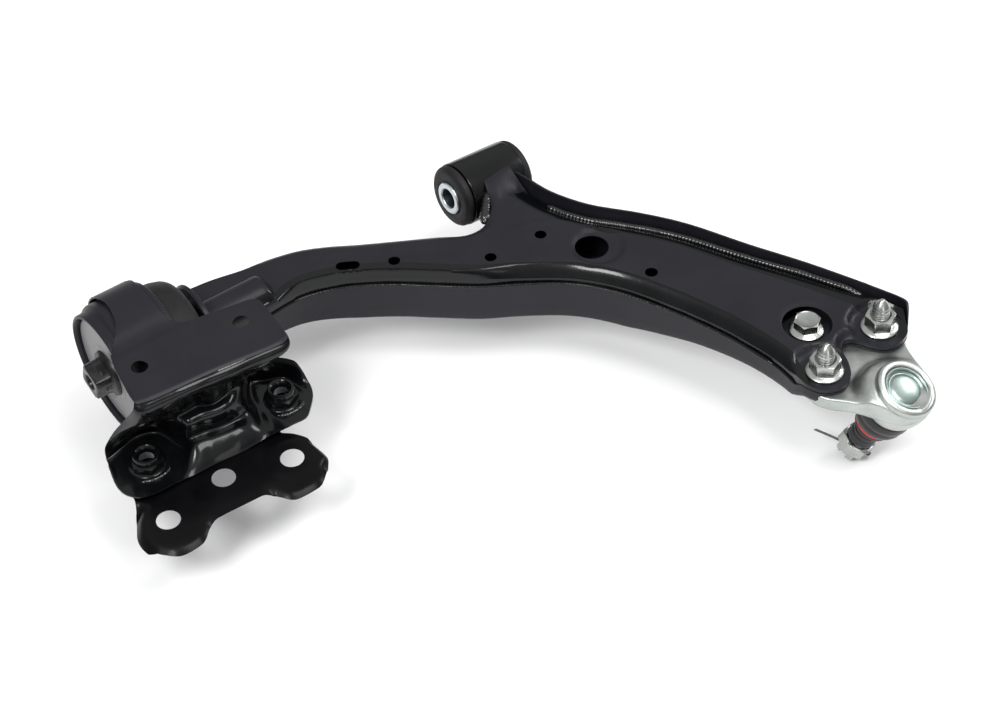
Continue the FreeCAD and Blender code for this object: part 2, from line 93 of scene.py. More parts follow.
def vary(mat, colour_b, scale, rough_low, rough_high, bump, bump_scale, fine=0.0, fine_scale=4000.0):
    """Cloudy colour and gloss, a shallow bump, and an optional finer grain on top of it."""
    tree = mat.node_tree
    shader = tree.nodes["Principled BSDF"]
    colour_a = tuple(shader.inputs["Base Color"].default_value)
    coords = tree.nodes.new("ShaderNodeTexCoord").outputs["Object"]
    clouds = add_node(mat, "ShaderNodeTexNoise", Scale=scale, Detail=6.0, Roughness=0.6)
    link(mat, coords, clouds.inputs["Vector"])
    ramp = tree.nodes.new("ShaderNodeValToRGB")
    ramp.color_ramp.elements[0].position = 0.35
    ramp.color_ramp.elements[1].position = 0.7
    ramp.color_ramp.elements[0].color = colour_a
    ramp.color_ramp.elements[1].color = (*colour_b, 1.0)
    link(mat, clouds.outputs["Fac"], ramp.inputs["Fac"])
    link(mat, ramp.outputs["Color"], shader.inputs["Base Color"])
    gloss = add_node(mat, "ShaderNodeMapRange")
    gloss.inputs["To Min"].default_value = rough_low
    gloss.inputs["To Max"].default_value = rough_high
    gloss.inputs["From Min"].default_value = 0.3
    gloss.inputs["From Max"].default_value = 0.7
    link(mat, clouds.outputs["Fac"], gloss.inputs["Value"])
    link(mat, gloss.outputs["Result"], shader.inputs["Roughness"])
    grain = add_node(mat, "ShaderNodeTexNoise", Scale=bump_scale, Detail=4.0, Roughness=0.55)
    link(mat, coords, grain.inputs["Vector"])
    relief = add_node(mat, "ShaderNodeBump", Strength=bump, Distance=0.0004)
    link(mat, grain.outputs["Fac"], relief.inputs["Height"])
    last = relief
    if fine > 0:
        dust = add_node(mat, "ShaderNodeTexNoise", Scale=fine_scale, Detail=2.0, Roughness=0.6)
        link(mat, coords, dust.inputs["Vector"])
        last = add_node(mat, "ShaderNodeBump", Strength=fine, Distance=0.00008)
        link(mat, dust.outputs["Fac"], last.inputs["Height"])
        link(mat, relief.outputs["Normal"], last.inputs["Normal"])
    link(mat, last.outputs["Normal"], shader.inputs["Normal"])
    return mat


def make_materials():
    mats = {}
    paint = new_material("arm_paint", (0.0092, 0.0090, 0.0128), 0.42, coat=0.03, coat_rough=0.3, shine=0.22)
    mats["paint"] = vary(paint, (0.0122, 0.0120, 0.0165), 28.0, 0.36, 0.47, 0.10, 260.0, 0.10)
    gloss = new_material("gloss_paint", (0.0016, 0.0018, 0.0022), 0.18, coat=0.22, coat_rough=0.05, shine=0.2)
    mats["gloss"] = vary(gloss, (0.0030, 0.0034, 0.0040), 40.0, 0.14, 0.24, 0.16, 150.0, 0.05)
    # Painted shade: the lower plate's paint is a darker, less shiny copy of the arm paint, standing in for
    # the shade and dark reflections on that plate.
    base = new_material("base_paint_shaded", (0.0014, 0.0014, 0.0018), 0.30, coat=0.04, coat_rough=0.1, shine=0.10)
    mats["base"] = vary(base, (0.0028, 0.0028, 0.0034), 40.0, 0.26, 0.38, 0.14, 170.0, 0.05)
    weld = new_material("weld_paint", (0.0030, 0.0032, 0.0036), 0.16, coat=0.7, coat_rough=0.06, shine=0.3)
    mats["weld"] = vary(weld, (0.0060, 0.0064, 0.0070), 90.0, 0.12, 0.26, 0.55, 420.0, 0.1)
    zinc = new_material("zinc", (0.40, 0.42, 0.40), 0.27, metal=1.0)
    mats["zinc"] = vary(zinc, (0.49, 0.50, 0.47), 120.0, 0.20, 0.34, 0.10, 700.0, 0.08)
    dull = new_material("cotter_steel", (0.16, 0.17, 0.16), 0.35, metal=1.0)
    mats["dull"] = vary(dull, (0.10, 0.10, 0.10), 120.0, 0.28, 0.42, 0.10, 700.0, 0.08)
    forged = new_material("housing_zinc", (0.36, 0.39, 0.37), 0.40, metal=1.0)
    mats["forged"] = vary(forged, (0.50, 0.52, 0.50), 55.0, 0.32, 0.50, 0.35, 320.0, 0.25, 2200.0)
    turned_zinc = new_material("turned_zinc", (0.24, 0.31, 0.29), 0.32, metal=1.0)
    mats["turned"] = vary(turned_zinc, (0.32, 0.37, 0.35), 60.0, 0.26, 0.38, 0.12, 300.0, 0.1)
    sleeve = new_material("sleeve_steel", (0.50, 0.54, 0.56), 0.34, metal=1.0)
    mats["sleeve"] = vary(sleeve, (0.60, 0.63, 0.64), 200.0, 0.28, 0.42, 0.1, 900.0, 0.1)
    # Painted shade: a near-black copy of the sleeve steel, for the shade inside the sleeve's bore.
    bore_shade = new_material("sleeve_bore_painted_shade", (0.020, 0.026, 0.034), 0.3, metal=0.8)
    mats["bore_shade"] = vary(bore_shade, (0.035, 0.042, 0.052), 150.0, 0.24, 0.38, 0.1, 900.0, 0.1)
    steel = new_material("pin_steel", (0.005, 0.005, 0.0055), 0.28, metal=0.1, coat=0.05, shine=0.3)
    mats["steel"] = vary(steel, (0.012, 0.012, 0.012), 180.0, 0.22, 0.4, 0.3, 500.0, 0.2)
    rubber = new_material("bush_rubber", (0.0085, 0.0085, 0.0088), 0.55, shine=0.22)
    mats["rubber"] = vary(rubber, (0.014, 0.014, 0.0145), 90.0, 0.45, 0.62, 0.2, 600.0, 0.25)
    boot = new_material("boot_rubber", (0.0095, 0.0085, 0.0110), 0.34, shine=0.35)
    mats["boot"] = vary(boot, (0.0150, 0.0135, 0.0175), 110.0, 0.28, 0.42, 0.12, 500.0, 0.12)
    red = new_material("ring_red", (0.40, 0.016, 0.014), 0.4)
    mats["red"] = vary(red, (0.48, 0.026, 0.020), 150.0, 0.34, 0.48, 0.1, 700.0, 0.08)
    cover = new_material("cover_grey", (0.130, 0.130, 0.132), 0.40)
    mats["cover"] = vary(cover, (0.165, 0.165, 0.167), 60.0, 0.34, 0.46, 0.08, 400.0, 0.1)
    plastic = new_material("seat_plastic", (0.72, 0.71, 0.66), 0.45)
    mats["plastic"] = vary(plastic, (0.76, 0.75, 0.70), 90.0, 0.4, 0.5, 0.08, 500.0, 0.05)
    return mats


MATS = make_materials()


# ---- mesh helpers ------------------------------------------------------------------------
def mesh_object(name, verts, faces, mat, body=None, replaces=()):
    """Smooth piece whose vertices are given in millimetres, in the part's frame."""
    mesh = bpy.data.meshes.new(name)
    mesh.from_pydata([Vector(v) * MM for v in verts], [], faces)
    mesh.validate()
    work = bmesh.new()
    work.from_mesh(mesh)
    bmesh.ops.remove_doubles(work, verts=work.verts, dist=WELD_DISTANCE)
    loose = [v for v in work.verts if not v.link_faces]
    bmesh.ops.delete(work, geom=loose, context="VERTS")
    bmesh.ops.recalc_face_normals(work, faces=work.faces)
    for face in work.faces:
        face.smooth = True
    work.to_mesh(mesh)
    work.free()
    mesh.materials.append(MATS[mat])
    obj = bpy.data.objects.new(name, mesh)
    bpy.context.scene.collection.objects.link(obj)
    if body:
        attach(obj, body)
    if replaces:
        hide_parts(*replaces)
    return obj


def repaint(obj, mat, chosen):
    """Gives another material to the faces whose centres (rows, in millimetres) are chosen."""
    obj.data.materials.append(MATS[mat])
    centres = np.array([tuple(face.center) for face in obj.data.polygons]) / MM
    for face, hit in zip(obj.data.polygons, chosen(centres)):
        if hit:
            face.material_index = len(obj.data.materials) - 1


def hermite(b, c, leave, arrive, s):
    """Point at share s of a curve from b to c, with its directions at both ends."""
    return ((2 * s**3 - 3 * s**2 + 1) * b + (s**3 - 2 * s**2 + s) * leave
            + (-2 * s**3 + 3 * s**2) * c + (s**3 - s**2) * arrive)


def spline(points, closed=False, step=3.0):
    """Points along a smooth curve through the given ones, about one step apart."""
    pts = [np.array(p, float) for p in points]
    count = len(pts)
    out = []
    spans = count if closed else count - 1
    for i in range(spans):
        if closed:
            a, b, c, d = (pts[(i + k) % count] for k in (-1, 0, 1, 2))
        else:
            a = pts[max(i - 1, 0)]
            b = pts[i]
            c = pts[i + 1]
            d = pts[min(i + 2, count - 1)]
        length = np.linalg.norm(c - b)
        steps = max(1, int(round(length / step)))
        t1 = max(np.linalg.norm(b - a), 1e-6) ** 0.5
        t2 = max(length, 1e-6) ** 0.5
        t3 = max(np.linalg.norm(d - c), 1e-6) ** 0.5
        m1 = (c - b) + t2 * ((b - a) / t1 - (c - a) / (t1 + t2)) if i > 0 or closed else c - b
        m2 = (c - b) + t2 * ((d - c) / t3 - (d - b) / (t2 + t3)) if i < spans - 1 or closed else c - b
        out += [hermite(b, c, m1, m2, k / steps) for k in range(steps)]
    if not closed:
        out.append(pts[-1])
    return np.array(out)


def even_spline(points, steps, pull):
    """Curve with the same number of steps between any two of the given points."""
    pts = [np.array(p, float) for p in points]
    last = len(pts) - 1
    out = []
    for i in range(last):
        a, b = pts[max(i - 1, 0)], pts[i]
        c, d = pts[i + 1], pts[min(i + 2, last)]
        leave = (c - a) / 2 * pull
        arrive = (d - b) / 2 * pull
        out += [hermite(b, c, leave, arrive, k / steps) for k in range(steps)]
    out.append(pts[-1])
    return np.array(out)


def edge_distance(points, line, closed=False):
    """Distance from each point to a polyline, in the plane."""
    start = line if closed else line[:-1]
    end = np.roll(line, -1, axis=0) if closed else line[1:]
    best = np.full(len(points), 1e9)
    for a, b in zip(start[:, :2], end[:, :2]):
        ab = b - a
        t = np.clip(((points - a) @ ab) / max(ab @ ab, 1e-9), 0, 1)
        best = np.minimum(best, np.hypot(*(points - (a + t[:, None] * ab)).T))
    return best


def inside(points, outline):
    """Which points lie within a closed outline."""
    result = np.zeros(len(points), bool)
    x, y = points[:, 0], points[:, 1]
    for a, b in zip(outline, np.roll(outline, -1, axis=0)):
        if a[1] == b[1]:
            continue
        crossing = (a[1] > y) != (b[1] > y)
        result ^= crossing & (x < (b[0] - a[0]) * (y - a[1]) / (b[1] - a[1]) + a[0])
    return result


def circle(centre, radius, step=1.2):
    count = max(20, int(2 * math.pi * radius / step))
    a = np.arange(count) * 2 * math.pi / count
    return np.stack([centre[0] + radius * np.cos(a), centre[1] + radius * np.sin(a)], 1)


def capsule(a, b, radius, count=16):
    """Outline of a slot between two centres."""
    turn = math.atan2(b[1] - a[1], b[0] - a[0])
    points = []
    for centre, start in ((b, turn - math.pi / 2), (a, turn + math.pi / 2)):
        for i in range(count + 1):
            angle = start + math.pi * i / count
            points.append((centre[0] + radius * math.cos(angle), centre[1] + radius * math.sin(angle)))
    return np.array(points)


def inward(outline):
    """Unit normals of a closed outline that point into it."""
    along = np.roll(outline, -1, axis=0) - np.roll(outline, 1, axis=0)
    normal = np.stack([-along[:, 1], along[:, 0]], 1)
    normal /= np.maximum(np.linalg.norm(normal, axis=1), 1e-9)[:, None]
    area = np.sum(outline[:, 0] * np.roll(outline[:, 1], -1) - np.roll(outline[:, 0], -1) * outline[:, 1])
    return normal if area > 0 else -normal


HOLE_RINGS = [0.7, 1.6, 3.0]     # depths of the rings of points round a hole
RING_SLACK = 0.12                # how much nearer than its depth a ring may come to its own edge
EDGE_GAP = 0.8                   # how near a ring may come to another edge


def sheet_grid(outline, holes, layers, pitch):
    """Triangles over an outline with holes, with rings of points near every edge."""
    loops = [outline] + list(holes)
    points = []
    edges = []
    for loop in loops:
        base = len(points)
        points.extend(loop)
        edges.extend((base + i, base + (i + 1) % len(loop)) for i in range(len(loop)))
    extra = []
    for number, loop in enumerate(loops):
        normal = inward(loop) if number == 0 else -inward(loop)
        rings = layers if number == 0 else HOLE_RINGS
        for depth in rings:
            ring = loop + normal * depth
            keep = np.ones(len(ring), bool)
            for other, line in enumerate(loops):
                away = edge_distance(ring, line, closed=True)
                keep &= away > (depth - RING_SLACK if other == number else EDGE_GAP)
            extra.append(ring[keep])
    low = outline.min(axis=0)
    high = outline.max(axis=0)
    xs = np.arange(low[0], high[0], pitch)
    ys = np.arange(low[1], high[1], pitch * 0.87)
    gx, gy = np.meshgrid(xs, ys)
    gx = gx + (np.arange(len(ys)) % 2)[:, None] * pitch / 2
    cloud = np.stack([gx.ravel(), gy.ravel()], 1)
    cloud = cloud[edge_distance(cloud, outline, closed=True) > layers[-1] + pitch * 0.6]
    for hole in holes:
        cloud = cloud[edge_distance(cloud, hole, closed=True) > HOLE_RINGS[-1] + pitch * 0.5]
    extra.append(cloud)
    more = np.concatenate(extra)
    more = more[inside(more, outline)]
    for hole in holes:
        more = more[~inside(more, hole)]
    everything = [Vector(p) for p in points] + [Vector(p) for p in more]
    result = geometry.delaunay_2d_cdt(everything, edges, [], 0, 1e-5)
    verts = np.array([tuple(v) for v in result[0]])
    faces = [tuple(f) for f in result[2]]
    middle = np.array([verts[list(f)].mean(axis=0) for f in faces])
    keep = inside(middle, outline)
    for hole in holes:
        keep &= ~inside(middle, hole)
    faces = [f for f, ok in zip(faces, keep) if ok]
    return verts, faces


def border_loop(verts, outline):
    """Index of each outline point among the sheet's vertices."""
    index = []
    for p in outline:
        index.append(int(np.argmin(np.hypot(verts[:, 0] - p[0], verts[:, 1] - p[1]))))
    return index


def add_rows(verts, faces, first, rows, closed=True):
    """Strips of quads from a loop of vertices through further rows of points."""
    verts = list(verts)
    before = list(first)
    for row in rows:
        start = len(verts)
        verts.extend(row)
        now = list(range(start, start + len(row)))
        count = len(now)
        for i in range(count if closed else count - 1):
            j = (i + 1) % count
            faces.append((before[i], before[j], now[j], now[i]))
        before = now
    return verts, faces


def thicken(obj, thickness=SHEET, rim=0.35):
    """Gives a sheet its thickness, below its surface, and rounds its rims."""
    solid = obj.modifiers.new("sheet", "SOLIDIFY")
    solid.thickness = thickness * MM
    solid.offset = -1.0
    solid.use_even_offset = True
    solid.thickness_clamp = 1.5
    edge = obj.modifiers.new("rim", "BEVEL")
    edge.width = rim * MM
    edge.segments = 2
    edge.limit_method = "ANGLE"
    edge.angle_limit = math.radians(55)
    edge.harden_normals = True
    return obj


def loft(rings, capped):
    """Strips through rings of points, capped, or with the last ring joined to the first."""
    count = len(rings[0])
    verts, faces = add_rows(rings[0], [], list(range(count)), rings[1:])
    last = (len(rings) - 1) * count
    if capped:
        faces.append(tuple(range(count)))
        faces.append(tuple(last + i for i in range(count))[::-1])
    else:
        faces += [(last + i, last + (i + 1) % count, (i + 1) % count, i) for i in range(count)]
    return verts, faces


def polar_ring(place, segments, shape):
    """Ring of points round an axis. The shape gives the radius and height at each angle."""
    ring = []
    for i in range(segments):
        a = 2 * math.pi * i / segments
        r, z = shape(a)
        ring.append(place((r * math.cos(a), r * math.sin(a), z)))
    return ring


def swept(line, sides, up, section):
    """Tube along a line. The section gives its radius, flatness and sidestep at each point."""
    count = len(line)
    verts = []
    for i in range(count):
        ahead = line[min(i + 1, count - 1)] - line[max(i - 1, 0)]
        ahead /= np.linalg.norm(ahead)
        side = np.cross(ahead, up)
        side /= np.linalg.norm(side)
        lift = np.cross(side, ahead)
        r, flat, aside = section(i)
        centre = line[i] + side * aside
        for k in range(sides):
            a = 2 * math.pi * k / sides
            verts.append(centre + side * r * math.cos(a) + lift * r * flat * math.sin(a))
    faces = []
    for i in range(count - 1):
        for k in range(sides):
            n = (k + 1) % sides
            faces.append((i * sides + k, i * sides + n, (i + 1) * sides + n, (i + 1) * sides + k))
    faces.append(tuple(range(sides))[::-1])
    faces.append(tuple((count - 1) * sides + k for k in range(sides)))
    return verts, faces


def smooth_step(t):
    """Eases from 0 to 1 as t does, and stays there beyond."""
    t = np.clip(t, 0, 1)
    return t * t * (3 - 2 * t)


# ---- arm ---------------------------------------------------------------------------------
NEAR_SIDE = [(-228, -19.5), (-195, -19), (-163.5, -17.4), (-135.7, -26.4), (-109.5, -43.4),
             (-86, -63.5), (-62.6, -83.4), (-39.8, -98.1), (-12.2, -119.6), (7.2, -145.2),
             (23.6, -181.1), (35.8, -216.8), (41.3, -241), (44.6, -264.3), (43.8, -284)]
BOLT_END = [(44.6, -292), (49.5, -302.5), (61.6, -308), (72, -304), (79, -294), (83.5, -283),
            (90, -278.5), (96.5, -283), (101, -292), (107.5, -299), (116.5, -301.4),
            (126.5, -298.3), (133.5, -291.8)]
FAR_SIDE = [(140.6, -283), (139.5, -276), (131, -256), (113, -214.5), (95.2, -178.5),
            (74.3, -133.4), (57.3, -107), (34.2, -76.5), (22.2, -50), (18.2, -29.5), (15, -12.5)]
EYE_SIDE = [(-7, -12.5), (-13, -26), (-19.5, -37), (-30, -43.8), (-44.2, -43.6), (-63, -32),
            (-86, -18.4), (-109.2, -4.6), (-127, 6.8), (-145, 15.8), (-164.6, 21), (-186.6, 25.6),
            (-207.4, 30), (-228, 32)]
SKIRT = 3.0
NEAR_SKIRT = 1.6
NEAR_WALL_TOP = -3.0
EYE_SADDLE = 18.0

WEB_Z = 10.0
PAD_Z = 5.0
NEAR_STUD = (61.6, -290.5)
FAR_STUD = (116.4, -282.7)
MIDDLE_BOLT = (80.1, -252.7)
BIG_HOLE = (14.3, -107.5)
BIG_DISH = (17.5, -110.5)
SMALL_HOLES = [((-6.8, -77.6), 4.1), ((-46.9, -74.7), 4.1), ((-100.4, -36.9), 4.1),
               ((29.1, -153.8), 4.4)]
ACCESS_HOLE = (78.4, -254.5)
SLOT = ((-131.4, -18.9), (-124.2, -23.3))


def arm_outline(step=2.2):
    """Smooth outline of the arm, with the number of points on each of its four sides."""
    whole = []
    counts = []
    for side in (NEAR_SIDE, BOLT_END, FAR_SIDE, EYE_SIDE):
        line = spline(whole[-1:] + side, False, step)
        fresh = [tuple(p) for p in (line[1:] if whole else line)]
        whole += fresh
        counts.append(len(fresh))
    close = spline([whole[-1], whole[0]], False, step)[1:-1]
    whole += [tuple(p) for p in close]
    counts[3] += len(close)
    return np.array(whole), counts


OUTLINE, COUNTS = arm_outline()
SIDE_NUMBER = np.repeat(np.arange(4), COUNTS)


def side_line(number):
    """One side of the outline, as a line of points."""
    start = sum(COUNTS[:number])
    return OUTLINE[start:start + COUNTS[number]]


def shrink(outline, amounts):
    return outline + inward(outline) * np.asarray(amounts)[:, None]


def eased(values, width=5):
    """Smooths a list that runs round a closed outline."""
    kernel = np.ones(2 * width + 1) / (2 * width + 1)
    long = np.concatenate([values[-width:], values, values[:width]])
    return np.convolve(long, kernel, "valid")


def upper_height(p):
    """Height of the arm's top stamping over each point."""
    x, y = p[:, 0], p[:, 1]
    near = edge_distance(p, side_line(0))
    far = edge_distance(p, side_line(2)) - SKIRT
    eye = edge_distance(p, side_line(3))
    end = edge_distance(p, side_line(1))
    z = np.full(len(p), WEB_Z)
    # near shoulder: round, down to the weld line; wider where the arm turns
    width = 2.6 + 7.0 * smooth_step((x + 78) / 55)
    t = np.clip((near - NEAR_SKIRT + 0.4) / width, 0, 1)
    z -= 9.0 * (1 - np.sin(t * math.pi / 2) ** 1.1)
    # far shoulder: a long slope down into the weld groove, which runs out towards the bolts
    t = np.clip(far / 15.0, 0, 1)
    drop = np.interp(-y, [60, 150, 255], [6.3, 5.4, 1.5])
    z -= drop * (1 - smooth_step(t)) * (x > -8)
    # rounded edge at the neck's far side and behind the eye
    t = np.clip(eye / 7.0, 0, 1)
    z -= 3.6 * (1 - np.sin(t * math.pi / 2)) * (x < -6)
    # bolt pads, lower than the web
    for centre, radius in ((NEAR_STUD, 17.0), (FAR_STUD, 17.5)):
        r = np.hypot(x - centre[0], y - centre[1])
        t = smooth_step((r - radius) / 5.5)
        z = z * t + PAD_Z * (1 - t)
    t = smooth_step(end / 7.0)
    z = z * t + PAD_Z * (1 - t)
    # flat neck with a half-round bulge over the pin
    t = smooth_step((x + 160) / -28)
    z = z * (1 - t) + np.minimum(z, 4.5) * t
    crest = np.sqrt(np.maximum(14.2 ** 2 - y ** 2, 0.0))
    fade = smooth_step((x + 172) / -12)
    bulge = np.maximum(z, crest * fade - (1 - fade) * 6)
    soft = smooth_step((crest - 2.0) / 5.0) * fade
    z = np.where(bulge > z, z * (1 - soft) + bulge * soft, z)
    # dish round the big hole
    r = np.hypot(x - BIG_DISH[0], y - BIG_DISH[1])
    z -= 2.3 * (1 - smooth_step((r - 14.5) / 6.0))
    # faint raised rib along the neck's bend and round the far side of the big hole
    for line, height in ((RIB_ONE, 0.9), (RIB_TWO, 0.7), (RIB_THREE, 0.6)):
        z += height * np.exp(-(edge_distance(p, line) / 2.6) ** 2)
    # saddle that climbs the eye tube
    lift = np.exp(-(edge_distance(p, EYE_LINE) / 6.0) ** 2)
    z += 3.6 * lift
    climb = smooth_step((y + 35) / 21) * smooth_step((x + 22) / 12)
    z = z + (EYE_SADDLE - z) * climb
    # access hole's rim turns down a little
    r = np.hypot(x - MIDDLE_BOLT[0], y - MIDDLE_BOLT[1] + 1.8)
    z -= 0.8 * (1 - smooth_step((r - 16.6) / 3.5))
    return z


RIB_ONE = spline([(-146, 2), (-128, -5), (-108, -17), (-84, -32), (-64, -43)], False, 3)
RIB_TWO = spline([(-20, -62), (-2, -66), (14, -78), (30, -98)], False, 3)
RIB_THREE = spline([(-108, -30), (-88, -46), (-66, -62)], False, 3)
EYE_LINE = spline([(-26, -38), (-16, -33), (-8, -22), (-3, -14)], False, 3)


def arm_upper():
    amounts = np.where(SIDE_NUMBER == 2, SKIRT, np.where(SIDE_NUMBER == 0, NEAR_SKIRT, 0.0))
    outline = shrink(OUTLINE, eased(amounts, 3))
    holes = [circle(BIG_HOLE, 11.6)]
    holes += [circle(centre, radius, 0.9) for centre, radius in SMALL_HOLES]
    holes += [circle(ACCESS_HOLE, 16.5), capsule(*SLOT, 4.0)]
    holes += [circle(centre, 6.3, 1.0) for centre in (NEAR_STUD, FAR_STUD)]
    flat, faces = sheet_grid(outline, holes, [0.5, 1.1, 1.9, 2.9, 4.2, 5.8, 7.6, 10.0, 12.5, 15.0], 2.3)
    verts = np.column_stack([flat, upper_height(flat)])
    loop = border_loop(flat, outline)
    rim = verts[loop]
    low = np.where(SIDE_NUMBER == 1, 2.0, np.where(SIDE_NUMBER == 3, 1.0, -5.0))
    low = eased(low.astype(float), 2)
    low = np.minimum(low, rim[:, 2] - 2.0)
    rows = []
    for share in (0.12, 0.35, 0.65, 1.0):
        row = rim.copy()
        row[:, 2] = rim[:, 2] + (low - rim[:, 2]) * share
        rows.append(row)
    verts, faces = add_rows(verts, faces, loop, rows)
    obj = mesh_object("arm_top_stamping", verts, faces, "paint", "arm", ["arm_upper_shell"])
    repaint(obj, "gloss", on_shoulder)
    return thicken(obj)


def on_shoulder(centres):
    """The rolled edges along the welds, which carry a thicker and glossier coat."""
    spots = centres[:, :2]
    far = (edge_distance(spots, side_line(2)) < SKIRT + 14.9) & (centres[:, 1] < -31)
    near = edge_distance(spots, side_line(0)) < NEAR_SKIRT + 7.5
    return far | near


def neck_floor(x):
    """The underside climbs towards the end of the neck."""
    return np.interp(x, [-230, -128], [-15.0, -34.0])


def floor_height(p):
    """Underside of the arm at each point."""
    z = np.interp(-p[:, 1], [0, 146, 160, 199, 226, 240, 330], [-34, -34, -31, -23, -14, -1.0, -1.0])
    return np.maximum(z, neck_floor(p[:, 0]))


def arm_lower():
    """Deep channel: walls down from the outline, a rounded corner, and the floor."""
    x, y = OUTLINE.T
    near_floor = np.interp(-y, [0, 80, 105, 125, 146, 160, 199, 242, 265, 291],
                           [-34, -34, -37, -37, -35, -32, -24, -18.5, -17.5, -14])
    floor = np.where(SIDE_NUMBER == 0, np.maximum(near_floor, neck_floor(x)),
                     eased(floor_height(OUTLINE), 2))
    floor = eased(np.where((SIDE_NUMBER == 1) & (x < 52), -10.0, floor), 2)
    far_rim = np.interp(-y, [8, 16, 24], [4.0, 13.8, 14.0])
    far_rim = np.where(-y > 277, np.interp(-y, [277, 284, 290, 293], [14.0, 13.6, 8.0, 2.0]), far_rim)
    on_rim = (SIDE_NUMBER == 2) | ((SIDE_NUMBER == 1) & (x > 130))
    top = np.where(SIDE_NUMBER == 0, NEAR_WALL_TOP, 1.2)
    top = eased(np.where(on_rim, far_rim, top), 1)
    flare = eased(np.where((SIDE_NUMBER == 2) & (y > -262), 0.9, 0.0), 4)
    largest = eased(np.where(SIDE_NUMBER == 0, 2.4, 5.0), 3)
    radius = np.minimum(largest, np.maximum((top - floor) * 0.45, 0.6))
    normal = inward(OUTLINE)
    rows = []
    for share in (0.0, 0.25, 0.5, 0.75, 1.0):
        z = top + (floor + radius - top) * share
        out = -flare * (1 - share) ** 2
        rows.append(np.column_stack([OUTLINE + normal * out[:, None], z]))
    for angle in (25, 50, 72, 90):
        a = math.radians(angle)
        shift = radius * (1 - math.cos(a))
        z = floor + radius * (1 - math.sin(a))
        rows.append(np.column_stack([OUTLINE + normal * shift[:, None], z]))
    verts, faces = add_rows(rows[0], [], list(range(len(OUTLINE))), rows[1:])
    base = rows[-1]
    bottom, bottom_faces = sheet_grid(base[:, :2], [], [3.0, 7.0], 7.0)
    z = floor_height(bottom)
    z[border_loop(bottom, base[:, :2])] = base[:, 2]
    offset = len(verts)
    verts += list(np.column_stack([bottom, z]))
    faces += [tuple(offset + i for i in f) for f in bottom_faces]
    obj = mesh_object("arm_lower_stamping", verts, faces, "paint", "arm", ["arm_lower_shell"])
    return thicken(obj, rim=0.6)


def bead(name, path, radius, body, squash_z, ripple, replaces=(), mat="weld", seed=1):
    """Rippled weld bead along a path, tapering at both ends."""
    line = spline(path, False, 0.9)
    count = len(line)
    rng = np.random.default_rng(seed)
    wander = np.convolve(rng.normal(0, 1, count + 12), np.ones(13) / 13, "valid")
    travelled = np.concatenate([[0], np.cumsum(np.linalg.norm(np.diff(line, axis=0), axis=1))])
    ripple_length = 2.6

    def section(i):
        turn = travelled[i] / ripple_length * math.pi
        wave = 1 + ripple * (abs(math.sin(turn)) - 0.5) + 0.5 * ripple * wander[i]
        ends = min(1.0, math.sqrt(max(0.02, min(i, count - 1 - i) / 5)))
        return radius * wave * ends, squash_z, wander[i] * 0.35

    verts, faces = swept(line, 14, (0, 0, 1), section)
    return mesh_object(name, verts, faces, mat, body, replaces)


def arm_welds():
    near = side_line(0) + inward(OUTLINE)[:COUNTS[0]] * 0.9
    near = near[(near[:, 0] > -172) & (near[:, 1] > -262)]
    path = np.column_stack([near, np.full(len(near), NEAR_WALL_TOP + 0.3)])[::2]
    bead("weld_near_bead", path, 1.4, "arm", 0.7, 0.22, ["weld_near"], "gloss", seed=3)
    start = sum(COUNTS[:2])
    far = side_line(2) + inward(OUTLINE)[start:start + COUNTS[2]] * 4.4
    far = far[(far[:, 1] < -48) & (far[:, 1] > -258)]
    height = np.interp(-far[:, 1], [60, 150, 245, 258], [4.4, 6.0, 9.4, 6.5])
    path = np.column_stack([far, height])[::2]
    bead("weld_far_bead", path, 2.6, "arm", 0.75, 0.28, ["weld_far"], seed=5)
    eye = [(-29, -41.5, 6.5), (-24, -36.5, 7.2), (-18.5, -30, 7.8), (-13.0, -24.5, 9.5),
           (-9, -21.5, 12.0)]
    bead("weld_eye_bead", eye, 3.6, "arm", 0.9, 0.3, ["weld_eye"], seed=8)


# ---- turned pieces -----------------------------------------------------------------------
EYE_PITCH = math.radians(4.84)
EYE_YAW = math.radians(1.39)
EYE_FRAME = np.array(Matrix.Rotation(EYE_YAW, 3, "Z") @ Matrix.Rotation(EYE_PITCH, 3, "Y"))
BALL_TOP = np.array([93.6, -333.8, 5.0])
BALL_AXIS = np.array([0.17, -0.375, 0.911]) / np.linalg.norm([0.17, -0.375, 0.911])


def filleted(profile, radius, steps=4, closed=True):
    """Rounds the corners of a profile given as (radius, height, optional own rounding)."""
    pts = [np.array(p[:2], float) for p in profile]
    own = [p[2] if len(p) > 2 else radius for p in profile]
    out = []
    count = len(pts)
    for i in range(count):
        if not closed and i in (0, count - 1):
            out.append(pts[i])
            continue
        a, b, c = pts[i - 1], pts[i], pts[(i + 1) % count]
        u = a - b
        w = c - b
        lu = np.linalg.norm(u)
        lw = np.linalg.norm(w)
        cut = min(own[i], lu * 0.45, lw * 0.45)
        if cut < 0.02 or pts[i][0] < 1e-6:
            out.append(b)
            continue
        first = b + u / lu * cut
        last = b + w / lw * cut
        for k in range(steps + 1):
            t = k / steps
            out.append((1 - t) ** 2 * first + 2 * t * (1 - t) * b + t * t * last)
    return out


def revolved(name, profile, place, mat, body, replaces=(), segments=96, closed=True):
    """Turned piece: profile of (radius, height), then carried to its place by a function."""
    rows = len(profile)
    verts = []
    for i in range(segments):
        a = 2 * math.pi * i / segments
        verts += [place((r * math.cos(a), r * math.sin(a), h)) for r, h in profile]
    faces = []
    for i in range(segments):
        n = (i + 1) % segments
        for k in range(rows if closed else rows - 1):
            m = (k + 1) % rows
            faces.append((i * rows + k, n * rows + k, n * rows + m, i * rows + m))
    return mesh_object(name, verts, faces, mat, body, replaces)


def on_hinge(p):
    """Local height runs along +X."""
    return np.array([p[2], p[0], p[1]])


def on_eye(p):
    return EYE_FRAME @ on_hinge(p)


BALL_FRAME = np.array(Vector((0, 0, 1)).rotation_difference(Vector(BALL_AXIS)).to_matrix())


def at_ball(p):
    return BALL_TOP + BALL_FRAME @ np.array(p)


